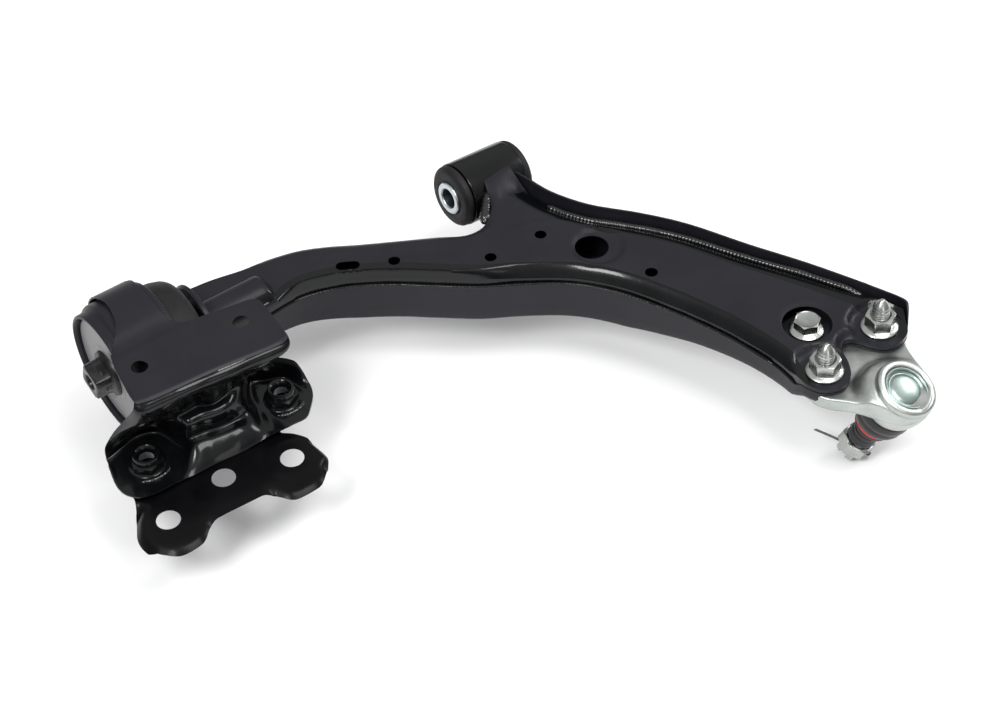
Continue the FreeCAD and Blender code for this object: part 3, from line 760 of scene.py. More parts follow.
def at_post(centre):
    return lambda p: np.array([centre[0] + p[0], centre[1] + p[1], p[2]])


def front_bush():
    tube = filleted([(19.9, -22.8), (22.9, -22.8), (22.9, 22.8), (19.9, 22.8)], 0.8)
    revolved("front_tube", tube, on_eye, "gloss", "arm", ["front_eye_tube"])
    half = [(19.85, 22.95, 0.3), (21.6, 23.4, 0.6), (22.3, 24.6, 0.8), (22.1, 26.9, 1.2),
            (19.4, 29.2, 1.4), (14.8, 29.6, 1.0), (11.9, 29.1, 0.8)]
    rubber = [(r, -h, round_off) for r, h, round_off in half[::-1]] + half
    revolved("front_rubber", filleted(rubber, 1.0), on_eye, "rubber", "arm", ["front_bush_rubber"])
    sleeve = [(7.1, -30.2, 0.0), (7.9, -30.95, 0.2), (11.1, -30.95, 0.3), (11.72, -30.3, 0.3),
              (11.72, 30.3, 0.3), (11.1, 30.95, 0.3), (7.9, 30.95, 0.2), (7.1, 30.2, 0.0)]
    tube = revolved("front_sleeve_tube", filleted(sleeve, 0.3), on_eye, "sleeve", "front_sleeve",
                    ["front_bush_sleeve"])
    # painted shade: the faces inside the bore take the near-black material
    repaint(tube, "bore_shade", lambda centres: np.hypot(*(centres @ EYE_FRAME).T[1:]) < 7.4)


def rear_bush():
    shell = [(39.8, -303.4, 0.5), (41.0, -305.9, 0.9), (42.9, -305.4, 0.9), (43.2, -299.8, 1.6),
             (46.1, -296.6, 1.8), (46.3, -261.0, 0.8), (45.4, -260.1, 0.5), (42.4, -260.1, 0.4),
             (42.4, -295.0, 1.0), (39.8, -300.6, 0.6)]
    revolved("rear_can", filleted(shell, 0.8), on_hinge, "paint", "bracket", ["rear_bush_shell"], 128)
    rubber = [(16.2, -300.0, 0.2), (39.6, -300.0, 0.2), (42.2, -294.5, 0.4), (42.2, -258.5, 0.5),
              (41.2, -251.5, 1.5), (39.4, -245.0, 2.4), (36.6, -241.2, 2.0), (32.0, -240.3, 1.5),
              (28.0, -244.0, 2.5), (20.0, -244.5, 2.0), (16.2, -241.0, 0.6)]
    revolved("rear_rubber", filleted(rubber, 1.0), on_hinge, "rubber", "bracket", ["rear_bush_rubber"], 128)
    cover = [(16.2, -302.4, 0.2), (19.5, -302.4, 0.4), (20.6, -301.9, 0.6), (38.3, -301.9, 0.8),
             (39.6, -301.0, 0.4), (39.6, -300.3, 0.2), (16.2, -300.3, 0.2)]
    revolved("rear_cover", filleted(cover, 0.3), on_hinge, "cover", "bracket", ["rear_bush_cover"], 128)
    flange = [(11.1, -235.9, 0.2), (29.8, -235.9, 0.8), (30.9, -234.0, 0.8), (30.9, -232.3, 0.5),
              (28.6, -232.2, 0.8), (16.0, -232.2, 0.8), (11.1, -232.2, 0.2)]
    revolved("pin_disc", filleted(flange, 0.5), on_hinge, "paint", "arm", ["rear_pin_flange"])
    pin = [(0.0, -311.9), (9.2, -311.9, 0.8), (10.9, -310.4, 0.6), (10.9, -188.5, 0.6), (0.0, -188.1)]
    revolved("pin", filleted(pin, 0.5, closed=False), on_hinge, "steel", "arm", ["rear_pin"], closed=False)
    rear_block()


def rear_block():
    """Inner sleeve with a rounded square end, standing out of the rear bush."""
    turn = math.radians(20)
    stations = [(-311.0, 5.2, 0.0), (-316.3, 5.4, 0.0), (-316.9, 6.0, 0.0), (-316.9, 9.2, 0.9),
                (-316.2, 9.9, 1.0), (-306.8, 10.2, 1.0), (-305.2, 12.2, 0.5), (-304.2, 15.8, 0.0),
                (-300.0, 15.9, 0.0), (-236.2, 15.9, 0.0), (-236.1, 11.1, 0.0), (-309.5, 11.1, 0.0),
                (-310.5, 5.2, 0.0)]
    rings = []
    for x, size, squareness in stations:
        def shape(a):
            flat = max(abs(math.cos(a - turn)), abs(math.sin(a - turn)))
            square = min(size / flat, size * 1.24)
            return square * squareness + size * (1 - squareness), x

        rings.append(polar_ring(on_hinge, 96, shape))
    verts, faces = loft(rings, False)
    mesh_object("rear_block", verts, faces, "steel", "arm", ["rear_bush_sleeve"])


# ---- fasteners ---------------------------------------------------------------------------
def hex_radius(angle, across, turn):
    """Radius of a hexagon, with its corners cut a little."""
    a = (angle - turn) % (math.pi / 3) - math.pi / 6
    return min(across / 2 / math.cos(a), across / math.sqrt(3) * 0.985)


def hex_piece(name, place, across, rows, mat, body, replaces, turn, capped=False):
    """Piece built of rows of (shape, size, height): hex, chamfer, crown or round."""
    rings = []
    for kind, size, height in rows:
        def shape(a):
            hexagon = hex_radius(a, across, turn)
            if kind == "hex":
                return hexagon * size, height
            if kind == "chamfer":
                return min(hexagon, size), height
            if kind == "crown":
                return hexagon, height - 0.55 * (hexagon - across / 2)
            return size, height

        rings.append(polar_ring(place, 120, shape))
    verts, faces = loft(rings, capped)
    obj = mesh_object(name, verts, faces, mat, body, replaces)
    obj.data.set_sharp_from_angle(angle=math.radians(32))
    return obj


def threaded_rod(name, place, r, rows, pitch, z_low, z_high, mat, body, replaces):
    """Rod whose rows are (radius, height) outside a threaded stretch."""
    thread_depth = 0.55
    stations = [(rr, z, 0.0) for rr, z in rows if z <= z_low]
    count = int((z_high - z_low) / pitch * 8)
    for i in range(count + 1):
        fade = min(1.0, (i + 0.01) / 8, (count - i) / 8 + 0.01)
        stations.append((r, z_low + (z_high - z_low) * i / count, thread_depth * fade))
    stations += [(rr, z, 0.0) for rr, z in rows if z >= z_high]
    rings = []
    for radius, z, cut in stations:
        def shape(a):
            phase = (z / pitch - a / (2 * math.pi)) % 1.0
            wave = abs(2 * phase - 1)
            return radius - cut * min(1.0, max(0.0, 1.25 * wave - 0.12)), z

        rings.append(polar_ring(place, 48, shape))
    verts, faces = loft(rings, True)
    return mesh_object(name, verts, faces, mat, body, replaces)


def flange_nut(name, centre, turn, replaces=()):
    rows = [("round", 6.1, 5.0), ("round", 11.6, 5.02), ("round", 12.4, 5.5), ("round", 12.45, 6.6),
            ("round", 11.9, 7.1), ("round", 10.8, 7.6), ("chamfer", 10.2, 8.0), ("hex", 1.0, 8.5),
            ("hex", 1.0, 15.6), ("crown", 0, 16.75), ("round", 8.6, 16.85), ("round", 7.2, 16.9),
            ("round", 6.3, 16.1), ("round", 5.6, 15.5)]
    return hex_piece(name, at_post(centre), 18.0, rows, "zinc", "arm", replaces, turn)


def arm_fasteners():
    for number, centre in enumerate((NEAR_STUD, FAR_STUD)):
        nodes = ["stud_nuts", "housing_studs"] if number == 0 else []
        flange_nut(f"flange_nut_{number + 1}", centre, math.radians(18 + 9 * number), nodes[:1])
        rows = [(8.3, -13.4), (8.4, -13.2), (8.4, -11.2), (5.5, -11.0), (5.5, 13.0), (5.85, 22.6),
                (5.1, 23.0), (5.0, 23.6), (5.6, 24.0), (5.4, 24.5), (1.6, 29.2), (0.8, 29.7)]
        threaded_rod(f"stud_{number + 1}", at_post(centre), 5.85, rows, 1.75, 13.5, 22.5, "zinc",
                     "arm", nodes[1:])
    rows = [("round", 5.9, -14.8), ("round", 5.9, 1.0), ("round", 11.4, 2.0), ("round", 11.9, 2.5),
            ("round", 11.9, 3.4), ("round", 10.4, 4.3), ("chamfer", 9.0, 4.9), ("hex", 1.0, 5.4),
            ("hex", 1.0, 10.0), ("crown", 0, 10.9), ("round", 7.6, 10.95), ("round", 6.9, 10.6),
            ("round", 2.0, 10.6)]
    hex_piece("middle_bolt_head", at_post(MIDDLE_BOLT), 16.0, rows, "zinc", "arm", ["middle_bolt"],
              math.radians(35), capped=True)


# ---- ball joint --------------------------------------------------------------------------
BALL_RADIUS = 12.4
BALL_DEPTH = -15.0
SEAT_RADIUS = 12.8


def ball_joint():
    housing_body()
    cap = [(0.0, -1.2), (3.5, -1.3), (7.5, -1.75), (10.0, -2.3), (11.2, -2.9), (12.0, -3.0), (12.8, -2.6),
           (14.4, -2.5), (15.4, -3.2)]
    under = [(15.4, -4.5), (12.4, -4.5), (10.6, -3.7), (7.0, -2.9), (0.0, -2.3)]
    revolved("cap_disc", smooth_profile(cap) + under, at_ball, "turned", "arm", ["ball_cap"], closed=False)
    stud = [(0.0, -84.5), (4.4, -84.5), (5.5, -83.8), (5.85, -82.8), (5.85, -68.0), (8.0, -66.2),
            (8.15, -60.0), (8.15, -48.0), (5.8, -40.0), (5.8, -27.0)]
    ball = [(max(r, 0.0), h) for r, h in ball_arc(BALL_RADIUS, 150, 0, 24)]
    revolved("ball_and_stud", stud + ball, at_ball, "zinc", "stud", ["ball_stud"], closed=False)
    castle_nut()
    cotter_pin()
    boot()


def ball_arc(radius, start, end, steps):
    """Profile points on a ball about the ball centre, from one angle off the top to another."""
    angles = np.radians(np.linspace(start, end, steps + 1))
    return [(radius * math.sin(a), BALL_DEPTH + radius * math.cos(a)) for a in angles]


def smooth_profile(points, step=0.5):
    return [tuple(p) for p in spline([(a, b, 0) for a, b in points], False, step)[:, :2]]


HOUSING_FLANGE = [(66, -243), (72, -238.5), (80, -237), (90, -240), (98, -246.5), (113, -258.5),
                  (127.5, -271), (131.5, -281), (129.8, -292), (123, -302), (119, -314),
                  (115.3, -328), (108, -342), (94, -351), (79, -347), (71, -336), (62, -320),
                  (50, -305.5), (47.2, -296), (49, -286), (54, -272), (60, -255)]


def ball_height_field(p):
    """Top of the forging over each point: a flat flange that sweeps up into the ball housing."""
    aside = p - BALL_TOP[:2]
    wall = BALL_TOP[2] + (aside[:, 0] * -BALL_AXIS[0] + aside[:, 1] * -BALL_AXIS[1] - 4.6) / BALL_AXIS[2]
    z = np.full(len(p), -1.0)
    # the height depends on the distance from the tilted axis, which depends on the height
    for _ in range(3):
        q = np.column_stack([p, z]) - BALL_TOP
        along = q @ BALL_AXIS
        r = np.linalg.norm(q - along[:, None] * BALL_AXIS, axis=1)
        rise = smooth_step((31.0 - r) / 11.5)
        z = -1.0 + np.maximum(wall + 1.0, 0.0) * rise
    return z


def housing_body():
    outline = spline(HOUSING_FLANGE, True, 2.0)
    flat, faces = sheet_grid(outline, [circle(MIDDLE_BOLT, 6.2, 1.0)], [0.5, 1.2, 2.2, 3.6], 2.0)
    height = ball_height_field(flat)
    edge = edge_distance(flat, outline, closed=True)
    height = height - 1.0 * (1 - np.sqrt(np.clip(1 - (1 - np.clip(edge / 1.2, 0, 1)) ** 2, 0, 1)))
    verts = np.column_stack([flat, height])
    loop = border_loop(flat, outline)
    rim = verts[loop]
    rows = []
    for drop in (2.0, 4.5, 7.0, 8.6):
        row = rim.copy()
        row[:, 2] = rim[:, 2] + (-10.2 - rim[:, 2]) * drop / 8.6
        rows.append(row)
    inner = rim.copy()
    inner[:, :2] += inward(outline) * 0.9
    inner[:, 2] = -10.95
    rows.append(inner)
    verts, faces = add_rows(verts, faces, loop, rows)
    start = len(verts) - len(outline)
    faces.append(tuple(range(start, len(verts))))
    mesh_object("housing_flange", verts, faces, "forged", "arm")
    bowl = [(15.7, -3.2, 0.2), (15.7, -1.0, 0.5), (16.3, -0.1, 0.5), (18.9, 0.0, 1.0), (20.6, -0.9, 0.9),
            (20.7, -3.6, 0.5), (20.5, -4.2, 0.4), (21.1, -5.0, 0.8), (21.6, -9.5, 2.0), (21.2, -16.5, 4.0),
            (19.6, -22.5, 2.5), (18.2, -25.2, 1.2), (16.4, -25.9, 0.6), (13.2, -25.9, 0.3),
            (13.2, -24.2, 0.2), (15.7, -24.0, 0.2)]
    revolved("housing_bowl", filleted(bowl, 0.6), at_ball, "forged", "arm", ["ball_housing"], 128)
    ring = [(13.2, -2.9, 0.2), (13.5, -1.4, 0.5), (14.4, -0.7, 0.5), (15.5, -1.2, 0.4), (15.62, -2.9, 0.2)]
    revolved("cap_ring", filleted(ring, 0.4), at_ball, "turned", "arm", segments=128)
    cup = [(15.5, -4.6)] + ball_arc(SEAT_RADIUS, 36, 124, 18) + [(15.5, -22.2)]
    revolved("cup", cup, at_ball, "plastic", "arm", ["ball_seat"])


COTTER_TURN = math.radians(128.0)


def castle_nut():
    """Slotted nut: a hexagon with six notches cut in its round crown."""
    across_flats = 21.0
    rows = [("round", 6.0, -67.0), ("round", 10.0, -67.02), ("crown", -0.5, -67.5), ("hex", 0, -68.6),
            ("hex", 0, -75.6), ("crown", 0.5, -77.0), ("slot", 9.9, -77.4), ("slot", 9.9, -79.5),
            ("slot", 9.9, -81.9), ("slot", 9.3, -82.5), ("slot", 6.4, -82.5), ("slot", 6.0, -82.0),
            ("slot", 6.0, -78.0), ("round", 6.0, -77.4)]
    rings = []
    for kind, size, height in rows:
        def shape(a):
            hexagon = hex_radius(a, across_flats, COTTER_TURN)
            if kind == "hex":
                return hexagon, height
            if kind == "crown":
                return hexagon, height + size * (hexagon - across_flats / 2)
            if kind == "round":
                return size, height
            across = (a - COTTER_TURN + math.pi / 6) % (math.pi / 3) - math.pi / 6
            notch = smooth_step((2.3 - abs(across) * 8.0) / 0.3)
            return size, height * (1 - notch) + max(height, -77.2) * notch

        rings.append(polar_ring(at_ball, 180, shape))
    verts, faces = loft(rings, False)
    obj = mesh_object("slotted_nut", verts, faces, "zinc", "stud", ["castle_nut"])
    obj.data.set_sharp_from_angle(angle=math.radians(35))


def wire(name, path, radius, replaces=()):
    """Round wire of the cotter pin, swept along a smooth path."""
    line = spline(path, False, 0.7)

    def section(i):
        return radius * (0.6 if i in (0, len(line) - 1) else 1.0), 1.0, 0.0

    verts, faces = swept(line, 12, np.array([0.3, 0.2, 1.0]), section)
    return mesh_object(name, verts, faces, "dull", "stud", replaces)


def cotter_pin():
    cos_t = math.cos(COTTER_TURN)
    sin_t = math.sin(COTTER_TURN)

    def spot(u, v, h):
        return at_ball((u * cos_t - v * sin_t, u * sin_t + v * cos_t, h - 79.5))

    for number, side in enumerate((1, -1)):
        eye = [(-9.9, 0.0, side * 0.6), (-10.8, 0.0, 0.0), (-11.4, 0.0, side * 1.2),
               (-12.8, 0.0, side * 1.5), (-13.6, 0.0, 0.0)]
        wire(f"cotter_eye_{number + 1}", [spot(*p) for p in eye], 0.7)
        leg = [(-11.5, 0, side * 0.7), (0, 0, side * 0.75), (11, side * 0.2, side * 0.8),
               (17, side * 0.5, side * (1.0 if side > 0 else 1.5)),
               (27.5, side * 0.6 + 0.2, side * 0.6 if side > 0 else -2.0)]
        wire(f"cotter_leg_{number + 1}", [spot(*p) for p in leg], 0.5,
             ["cotter_pin"] if number == 0 else [])


def ring_profile(points, step):
    """Smooth profile that closes on itself."""
    return smooth_profile(points + points[:1], step)[:-1]


def boot():
    """The boot in three parts: the upper two stay where they are built, the last and its ring ride on the
    boot's end.
    """
    upper = [(13.6, -26.3), (17.2, -26.3), (17.9, -26.9), (18.2, -28.2), (18.5, -30.2), (18.4, -32.0),
             (17.9, -33.4), (17.45, -34.2), (17.35, -35.0), (15.9, -35.0), (16.3, -32.0),
             (16.0, -29.0), (13.6, -28.0)]
    upper_obj = revolved("boot_upper_skin", ring_profile(upper, 0.5), at_ball, "boot", None,
                         ["boot_upper"])
    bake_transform(upper_obj)
    waist = [(17.35, -35.05), (17.5, -36.4), (17.5, -38.0), (17.0, -39.8), (16.2, -41.4), (15.2, -42.6),
             (14.4, -43.4), (13.6, -44.2), (10.4, -44.3), (12.8, -41.5), (15.0, -38.0), (15.9, -35.05)]
    waist_obj = revolved("boot_waist_skin", ring_profile(waist, 0.5), at_ball, "boot", None,
                         ["boot_waist"])
    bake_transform(waist_obj)
    ring = [(12.2, -44.8, 0.5), (13.3, -44.8, 0.6), (13.6, -45.9, 0.8), (13.2, -46.9, 0.6),
            (12.2, -46.9, 0.5)]
    revolved("red_ring", filleted(ring, 0.7), at_ball, "red", "boot_end", ["boot_ring"])
    lower = [(9.6, -44.8), (12.4, -44.8), (12.9, -47.2), (13.1, -48.4), (12.6, -49.6), (11.0, -50.6),
             (9.7, -51.6), (9.1, -53.2), (9.0, -54.6), (9.5, -55.6), (9.5, -56.6), (9.0, -57.6),
             (9.0, -58.8), (9.5, -59.8), (9.6, -61.4), (9.9, -63.0), (9.8, -64.9), (9.3, -65.8),
             (8.3, -65.9), (8.3, -57.0), (8.5, -52.0)]
    revolved("boot_neck_skin", ring_profile(lower, 0.45), at_ball, "boot", "boot_end", ["boot_lower"])


# ---- rear bracket ------------------------------------------------------------------------
PLATE = [(-296.8, -14), (-300.6, -19), (-305.6, -23.6), (-309.6, -29), (-311.6, -35.5), (-313.8, -46),
         (-317.5, -70), (-317.3, -74.5), (-312.5, -76.8), (-262, -81.2), (-216, -86.0), (-211.3, -83.6),
         (-210.6, -78), (-208.8, -55), (-208.5, -45), (-211.5, -41), (-222, -38.6), (-243, -34.6),
         (-255, -31.6), (-261, -27.5), (-264.0, -22), (-265.2, -16), (-265.4, 10), (-265.4, 30),
         (-278, 30.2), (-290.2, 30), (-290.2, 12), (-291.6, 0), (-293.8, -8)]
HUMP_LEFT = -290.1
HUMP_RADIUS = 49.3


def plate_height(p):
    y = p[:, 1]
    hump = np.sqrt(np.maximum(HUMP_RADIUS ** 2 - y ** 2, 0))
    t = smooth_step((y + 36) / 20.0)
    z = 44.0 * (1 - t) + hump * t
    edge = edge_distance(p, PLATE_FOLD)
    z -= 1.6 * (1 - np.sin(np.clip(edge / 3.2, 0, 1) * math.pi / 2))
    side = edge_distance(p, PLATE_SIDES)
    z -= 0.9 * (1 - np.sin(np.clip(side / 2.0, 0, 1) * math.pi / 2))
    return z


PLATE_FOLD = spline([(-317.3, -75.2), (-312.5, -77.0), (-262, -81.4), (-216, -86.2), (-211.4, -84)], False, 2)
PLATE_SIDES = spline([(-305.6, -23.6), (-309.6, -29), (-311.6, -35.5), (-313.8, -46), (-317.6, -72)],
                     False, 2)

# Stations of the front wall: each is (top, then points down to the foot's outer edge).
WALL = [
    [(-317.5, -73, 42.4), (-319.8, -74.2, 38), (-323, -66, 25), (-329.5, -57.5, 10), (-335.8, -53, -4),
     (-337.4, -54.5, -12.6), (-338.2, -58, -13.4), (-339.4, -61, -13.6)],
    [(-315.5, -76.3, 42.2), (-317.6, -78.5, 37), (-320.0, -73, 24), (-325, -61.5, 10),
     (-329.5, -54, -3), (-332, -53.5, -12), (-334.6, -60, -14.2), (-343.2, -77, -14.2)],
    [(-312.5, -77.2, 42.2), (-313.8, -80, 37), (-315.5, -76.5, 25), (-318.5, -65.5, 13),
     (-321.0, -54.5, 0), (-323, -52, -11), (-326, -62, -14.2), (-342.2, -88, -14.2)],
    [(-306, -77.8, 42.2), (-306.6, -80.6, 37), (-307.6, -77, 25), (-309.5, -65.5, 14), (-311, -53.5, 1),
     (-312, -50, -10.5), (-315, -60, -14.2), (-335.5, -96.5, -14.2)],
    [(-299, -78.4, 42.2), (-299.2, -81.2, 37), (-299.6, -77.6, 25), (-299.8, -68, 14),
     (-299.6, -58.5, 1), (-299.8, -55.5, -10.5), (-304, -66, -14.2), (-325, -99.2, -14.2)],
    [(-293.5, -79, 42.2), (-293.4, -81.8, 37), (-292.8, -76.2, 25), (-291.8, -71, 12.5),
     (-291.6, -72, 1), (-292.0, -74.5, -10.5), (-295, -80, -14.2), (-311, -99.6, -14.2)],
    [(-288.5, -79.4, 42.2), (-288.4, -82.0, 37), (-287.7, -73.5, 22), (-287.4, -72.5, 12),
     (-288, -79.5, 10.2), (-288.6, -80.5, -2.5), (-290.5, -87, -5.5), (-298.5, -99.2, -15.2)],
    [(-279, -80.2, 42.2), (-278.8, -82.8, 37), (-277.4, -73.0, 22), (-277.2, -72.4, 12),
     (-278.0, -80.2, 10.2), (-278.4, -81.4, -3.0), (-279.4, -88.4, -5.6), (-285, -99.0, -15.6)],
    [(-269, -81.2, 42.2), (-268.8, -83.8, 37), (-268.0, -78.5, 22), (-268.0, -76.8, 12),
     (-268.4, -82.6, 10.2), (-268.6, -84.0, -3.0), (-268.6, -91.0, -5.6), (-272, -100.0, -15.6)],
    [(-260, -82.2, 42.2), (-259.8, -85, 37), (-258.0, -78, 22), (-257.6, -76.0, 13),
     (-259.0, -82.6, 9.8), (-258.6, -84.6, -3.0), (-257.6, -92.6, -5.8), (-260, -100.8, -15.4)],
    [(-251, -83, 42.2), (-250.8, -85.8, 37), (-247.8, -78, 24), (-246.6, -73.5, 14), (-247.0, -76.0, 4),
     (-247.4, -82.0, -4.5), (-246.4, -92, -10.2), (-246.4, -101.2, -14.4)],
    [(-242, -83.6, 42.2), (-241.6, -86.4, 37), (-240.4, -80, 25), (-238.8, -71, 13), (-238.2, -64.5, 1),
     (-238.2, -65.5, -10.5), (-236.2, -74, -14.2), (-237.0, -101.8, -14.2)],
    [(-233, -84.4, 42.2), (-232.6, -87.4, 37), (-232.8, -81, 26), (-232.6, -70.5, 15),
     (-230.0, -57.5, 2), (-229.6, -54.0, -10.5), (-227.4, -64, -14.2), (-225.5, -102.4, -14.2)],
    [(-224, -85.4, 42.2), (-223.8, -88.4, 37), (-227.6, -81.5, 27), (-230.5, -70, 15), (-225, -56, -2),
     (-219.6, -57, -11.5), (-217.6, -64, -14.2), (-214.6, -102.0, -14.2)],
    [(-216.5, -86, 42.2), (-217, -88.6, 37), (-224, -80.5, 28), (-229, -69.5, 17), (-223, -54.5, -1),
     (-213, -58.5, -8), (-206.6, -66, -13.6), (-202.4, -89.5, -14.2)],
    [(-211.5, -84.4, 42.2), (-213, -86, 37), (-221, -78, 30), (-227.6, -67.6, 19), (-221.5, -52.5, -1),
     (-212.5, -56.5, -3), (-201.5, -69, -6), (-198.8, -80, -13.8)],
    [(-210.4, -79.5, 42.4), (-212, -81, 38), (-219.5, -75.5, 31), (-226.6, -66, 21), (-220.5, -50.5, 2),
     (-212.5, -54.0, 1.5), (-200.5, -66.5, 0), (-198, -76, -12.8)],
]


def punch(obj, centre, radius):
    """Opens a round hole in the flat foot of a sheet."""
    work = bmesh.new()
    work.from_mesh(obj.data)
    middle = Vector(centre) * MM

    def away(point):
        return (Vector(point[:2]) - middle).length / MM

    def in_hole(point):
        return away(point) < radius and point.z < FOOT_TOP * MM

    gone = [face for face in work.faces if in_hole(face.calc_center_median())]
    bmesh.ops.delete(work, geom=gone, context="FACES")
    for vert in work.verts:
        if vert.is_boundary and vert.co.z < FOOT_TOP * MM and away(vert.co) < 1.8 * radius:
            spot = middle + (Vector(vert.co[:2]) - middle).normalized() * radius * MM
            vert.co.x = spot.x
            vert.co.y = spot.y
    work.to_mesh(obj.data)
    work.free()


FOOT_NUTS = [(-318.0, -74.0), (-219.5, -78.5)]
FOOT_HOLE = 6.1
FOOT_TOP = -12.0            # the wall's flat feet lie below this height


def front_wall():
    """Front of the bracket: folds down from the plate, winds round two pockets, runs out to the feet."""
    rows = np.array([even_spline(row, 7, 0.85) for row in WALL])
    grid = [even_spline(rows[:, k], 6, 0.9) for k in range(rows.shape[1])]
    verts, faces = add_rows(grid[0], [], list(range(len(grid[0]))), grid[1:], closed=False)
    obj = mesh_object("bracket_front", verts, faces, "gloss", "bracket")
    for centre in FOOT_NUTS:
        punch(obj, centre, FOOT_HOLE)
    return thicken(obj)


def bracket_plate():
    outline = spline(PLATE, True, 2.0)
    holes = [circle((-299.9, -49.2), 5.5, 1.0), circle((-228.4, -54.3), 5.5, 1.0)]
    flat, faces = sheet_grid(outline, holes, [0.5, 1.1, 1.9, 2.9, 4.2], 2.4)
    verts = np.column_stack([flat, plate_height(flat)])
    top = len(verts)
    # the hump carries on over the far side, down beside the bush
    columns = np.linspace(HUMP_LEFT, -265.5, 14)
    rows = []
    for angle in np.linspace(53.5, -12, 26):
        a = math.radians(angle)
        rows.append([(x, HUMP_RADIUS * math.cos(a), HUMP_RADIUS * math.sin(a)) for x in columns])
    more, strip = add_rows(rows[0], [], list(range(len(columns))), rows[1:], closed=False)
    verts = list(verts) + more
    faces += [tuple(top + i for i in f) for f in strip]
    obj = mesh_object("bracket_top", verts, faces, "paint", "bracket", ["bracket_upper"])
    return thicken(obj, 2.4)


LOWER = [(-333, -70), (-338, -80), (-339, -93), (-347.0, -107.7), (-352.6, -119.5), (-352.2, -131),
         (-348.5, -136.5), (-340.5, -145.4), (-335.5, -147.8), (-322.5, -147.6), (-318.5, -145.8),
         (-311.5, -139.4), (-307, -137.9), (-283, -138.6), (-270, -139.6), (-266, -141.4),
         (-258.6, -150.6), (-254, -152.4), (-238.6, -152.4), (-234.6, -150.4), (-224.0, -139.4),
         (-220.9, -134.4), (-221.8, -118), (-228, -106), (-234.3, -99), (-214, -98), (-204, -88),
         (-202, -70), (-216, -57), (-270, -60), (-320, -60)]
LOWER_LEFT = spline([(-341, -100), (-347.4, -108.0), (-353.0, -119.5), (-352.4, -131.5)], False, 2)
LOWER_RIGHT = spline([(-224.6, -141), (-220.2, -135), (-221.1, -118)], False, 2)
LOWER_FRONT_ONE = spline([(-350, -135), (-339.4, -146), (-320.1, -147.3), (-311, -140)], False, 2)
LOWER_FRONT_TWO = spline([(-266, -141), (-257.3, -151.4), (-236.7, -152.4), (-226, -142)], False, 2)


def lower_plate():
    outline = spline(LOWER, True, 2.0)
    holes = [circle(c, 7.8, 1.0) for c in ((-330, -119.7), (-284.3, -110.9), (-240.7, -123.6))]
    holes += [circle(c, FOOT_HOLE, 1.0) for c in FOOT_NUTS]
    flat, faces = sheet_grid(outline, holes, [0.5, 1.1, 2.0, 3.2, 4.8], 2.4)
    z = np.full(len(flat), -17.2)
    r = np.hypot(flat[:, 0] + 240.7, flat[:, 1] + 123.6)
    z -= 0.9 * smooth_step((r - 14.5) / 6.0) * smooth_step((flat[:, 0] + 262) / 10)
    for line, depth, reach in ((LOWER_LEFT, 6.5, 7.0), (LOWER_RIGHT, 5.5, 5.0),
                               (LOWER_FRONT_ONE, 3.5, 7.5), (LOWER_FRONT_TWO, 3.5, 7.5)):
        away = edge_distance(flat, line)
        z -= depth * (1 - np.sin(np.clip(away / reach, 0, 1) * math.pi / 2))
    z = np.maximum(z, -24.0)
    verts = np.column_stack([flat, z])
    # painted shade: the lower plate takes the darkened copy of the paint
    obj = mesh_object("bracket_base", verts, faces, "base", "bracket", ["bracket_lower"])
    return thicken(obj)


def weld_nut(name, centre, turn, replaces=()):
    rows = [("round", 6.0, -14.0), ("round", 12.6, -14.0), ("round", 12.5, -13.2), ("round", 12.0, -12.8),
            ("chamfer", 11.0, -12.5), ("hex", 1.0, -12.0), ("hex", 1.0, -8.6), ("crown", 0, -8.0),
            ("round", 9.3, -7.8), ("round", 9.1, -7.2), ("round", 9.1, -4.2), ("round", 8.7, -3.4),
            ("round", 8.0, -3.1), ("round", 7.2, -3.2), ("round", 6.4, -3.9), ("round", 6.0, -4.4),
            ("round", 5.6, -5.2), ("round", 6.0, -6.0), ("round", 5.6, -6.8), ("round", 6.0, -7.6),
            ("round", 5.6, -8.4), ("round", 6.0, -9.2), ("round", 6.0, -13.8)]
    return hex_piece(name, at_post(centre), 20.0, rows, "gloss", "bracket", replaces, turn)


def rear_bracket():
    bracket_plate()
    front_wall()
    lower_plate()
    for number, (centre, turn) in enumerate(zip(FOOT_NUTS, (15, 25))):
        replaces = ["bracket_weld_nuts"] if number == 0 else []
        weld_nut(f"foot_nut_{number + 1}", centre, math.radians(turn), replaces)
    for number, (x, y) in enumerate(FOOT_NUTS):
        path = [(x - 11.5, y - 11.0, -13.4), (x - 4, y - 14.4, -13.2), (x + 6, y - 13.8, -13.2),
                (x + 11, y - 9.5, -13.2)]
        bead(f"nut_weld_{number + 1}", path, 1.7, "bracket", 0.8, 0.4, seed=20 + number)


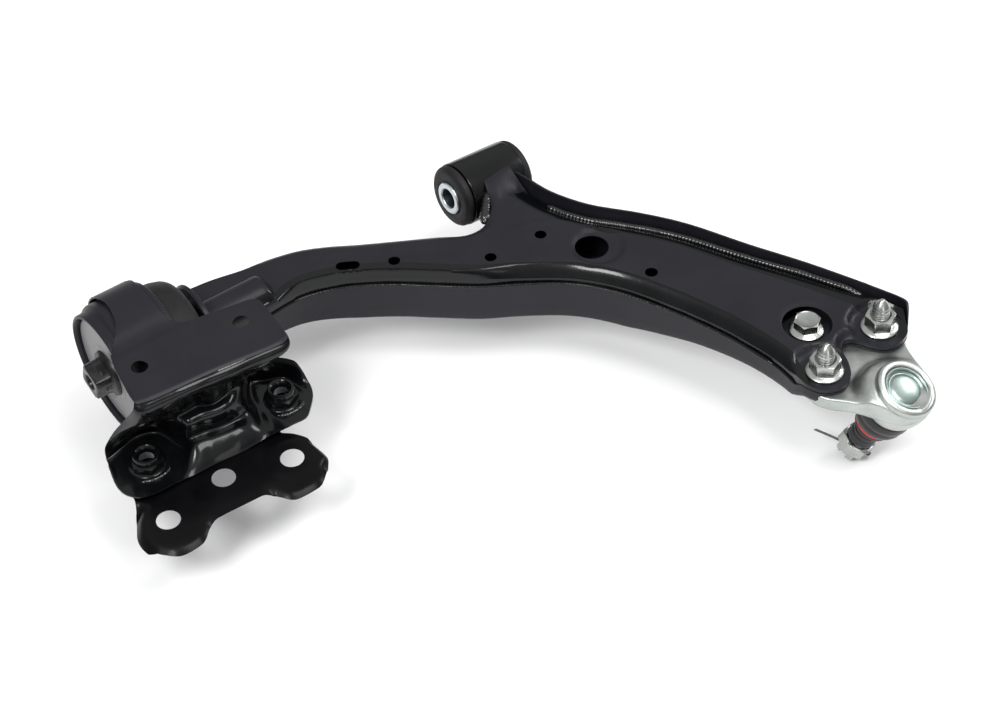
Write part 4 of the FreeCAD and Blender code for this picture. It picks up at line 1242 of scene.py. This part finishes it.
# ---- floor, light, camera ----------------------------------------------------------------
def stage():
    floor_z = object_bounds()[0][2] - 0.0005
    mesh = bpy.data.meshes.new("floor")
    corners = [(-4, -4, floor_z), (4, -4, floor_z), (4, 4, floor_z), (-4, 4, floor_z)]
    mesh.from_pydata(corners, [], [(0, 1, 2, 3)])
    floor = bpy.data.objects.new("floor", mesh)
    bpy.context.scene.collection.objects.link(floor)
    mat = bpy.data.materials.new("floor_white")
    mat.use_nodes = True
    shader = mat.node_tree.nodes["Principled BSDF"]
    shader.inputs["Base Color"].default_value = (0.92, 0.92, 0.92, 1)
    shader.inputs["Roughness"].default_value = 0.85
    shader.inputs["Specular IOR Level"].default_value = 0.1
    mesh.materials.append(mat)
    floor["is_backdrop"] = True
    world = bpy.data.worlds.new("studio")
    bpy.context.scene.world = world
    world.use_nodes = True
    tree = world.node_tree
    sky = tree.nodes["Background"]
    sky.inputs["Strength"].default_value = 0.75
    coords = tree.nodes.new("ShaderNodeTexCoord")
    split = tree.nodes.new("ShaderNodeSeparateXYZ")
    ramp = tree.nodes.new("ShaderNodeValToRGB")
    ramp.color_ramp.elements[0].position = 0.0
    ramp.color_ramp.elements[0].color = (0.10, 0.11, 0.12, 1.0)
    ramp.color_ramp.elements[1].position = 0.75
    ramp.color_ramp.elements[1].color = (1.0, 1.0, 1.0, 1.0)
    tree.links.new(coords.outputs["Generated"], split.inputs["Vector"])
    tree.links.new(split.outputs["Z"], ramp.inputs["Fac"])
    tree.links.new(ramp.outputs["Color"], sky.inputs["Color"])
    bpy.context.scene.view_settings.view_transform = "Standard"
    area("key", (-1.0, -0.5, 1.2), (-0.05, -0.12, 0), 0.45, 14.0)
    area("top", (0.15, -0.75, 1.5), (0, -0.12, 0), 0.7, 13.0)
    area("side", (1.3, -0.35, 0.8), (0, -0.12, 0), 0.45, 6.0)
    area("low", (-0.3, -1.4, 0.5), (-0.1, -0.15, 0), 0.5, 1.2)


def area(name, where, target, size, watts):
    light = bpy.data.lights.new(name, "AREA")
    light.shape = "SQUARE"
    light.size = size
    light.energy = watts
    obj = bpy.data.objects.new(name, light)
    obj.location = where
    aim = Vector(target) - Vector(where)
    obj.rotation_euler = aim.to_track_quat("-Z", "Y").to_euler()
    bpy.context.scene.collection.objects.link(obj)


CAMERA_HEADING = 33.860     # degrees from +Y towards +X
CAMERA_DOWN = 45.569        # degrees below level
CAMERA_ROLL = -3.118
CAMERA_PLACE = (0.01206, -0.1238, 1.576)     # metres to the camera's own right, up and back


def camera():
    data = bpy.data.cameras.new("camera")
    data.lens = 80.0
    data.sensor_width = 36.0
    data.clip_start = 0.01
    obj = bpy.data.objects.new("camera", data)
    turn = Matrix.Rotation(math.radians(-CAMERA_HEADING), 4, "Z")
    turn = turn @ Matrix.Rotation(math.radians(90 - CAMERA_DOWN), 4, "X")
    turn = turn @ Matrix.Rotation(math.radians(CAMERA_ROLL), 4, "Z")
    obj.matrix_world = turn @ Matrix.Translation(CAMERA_PLACE)
    bpy.context.scene.collection.objects.link(obj)
    bpy.context.scene.camera = obj


arm_upper()
arm_lower()
arm_welds()
front_bush()
rear_bush()
arm_fasteners()
ball_joint()
rear_bracket()
stage()
camera()
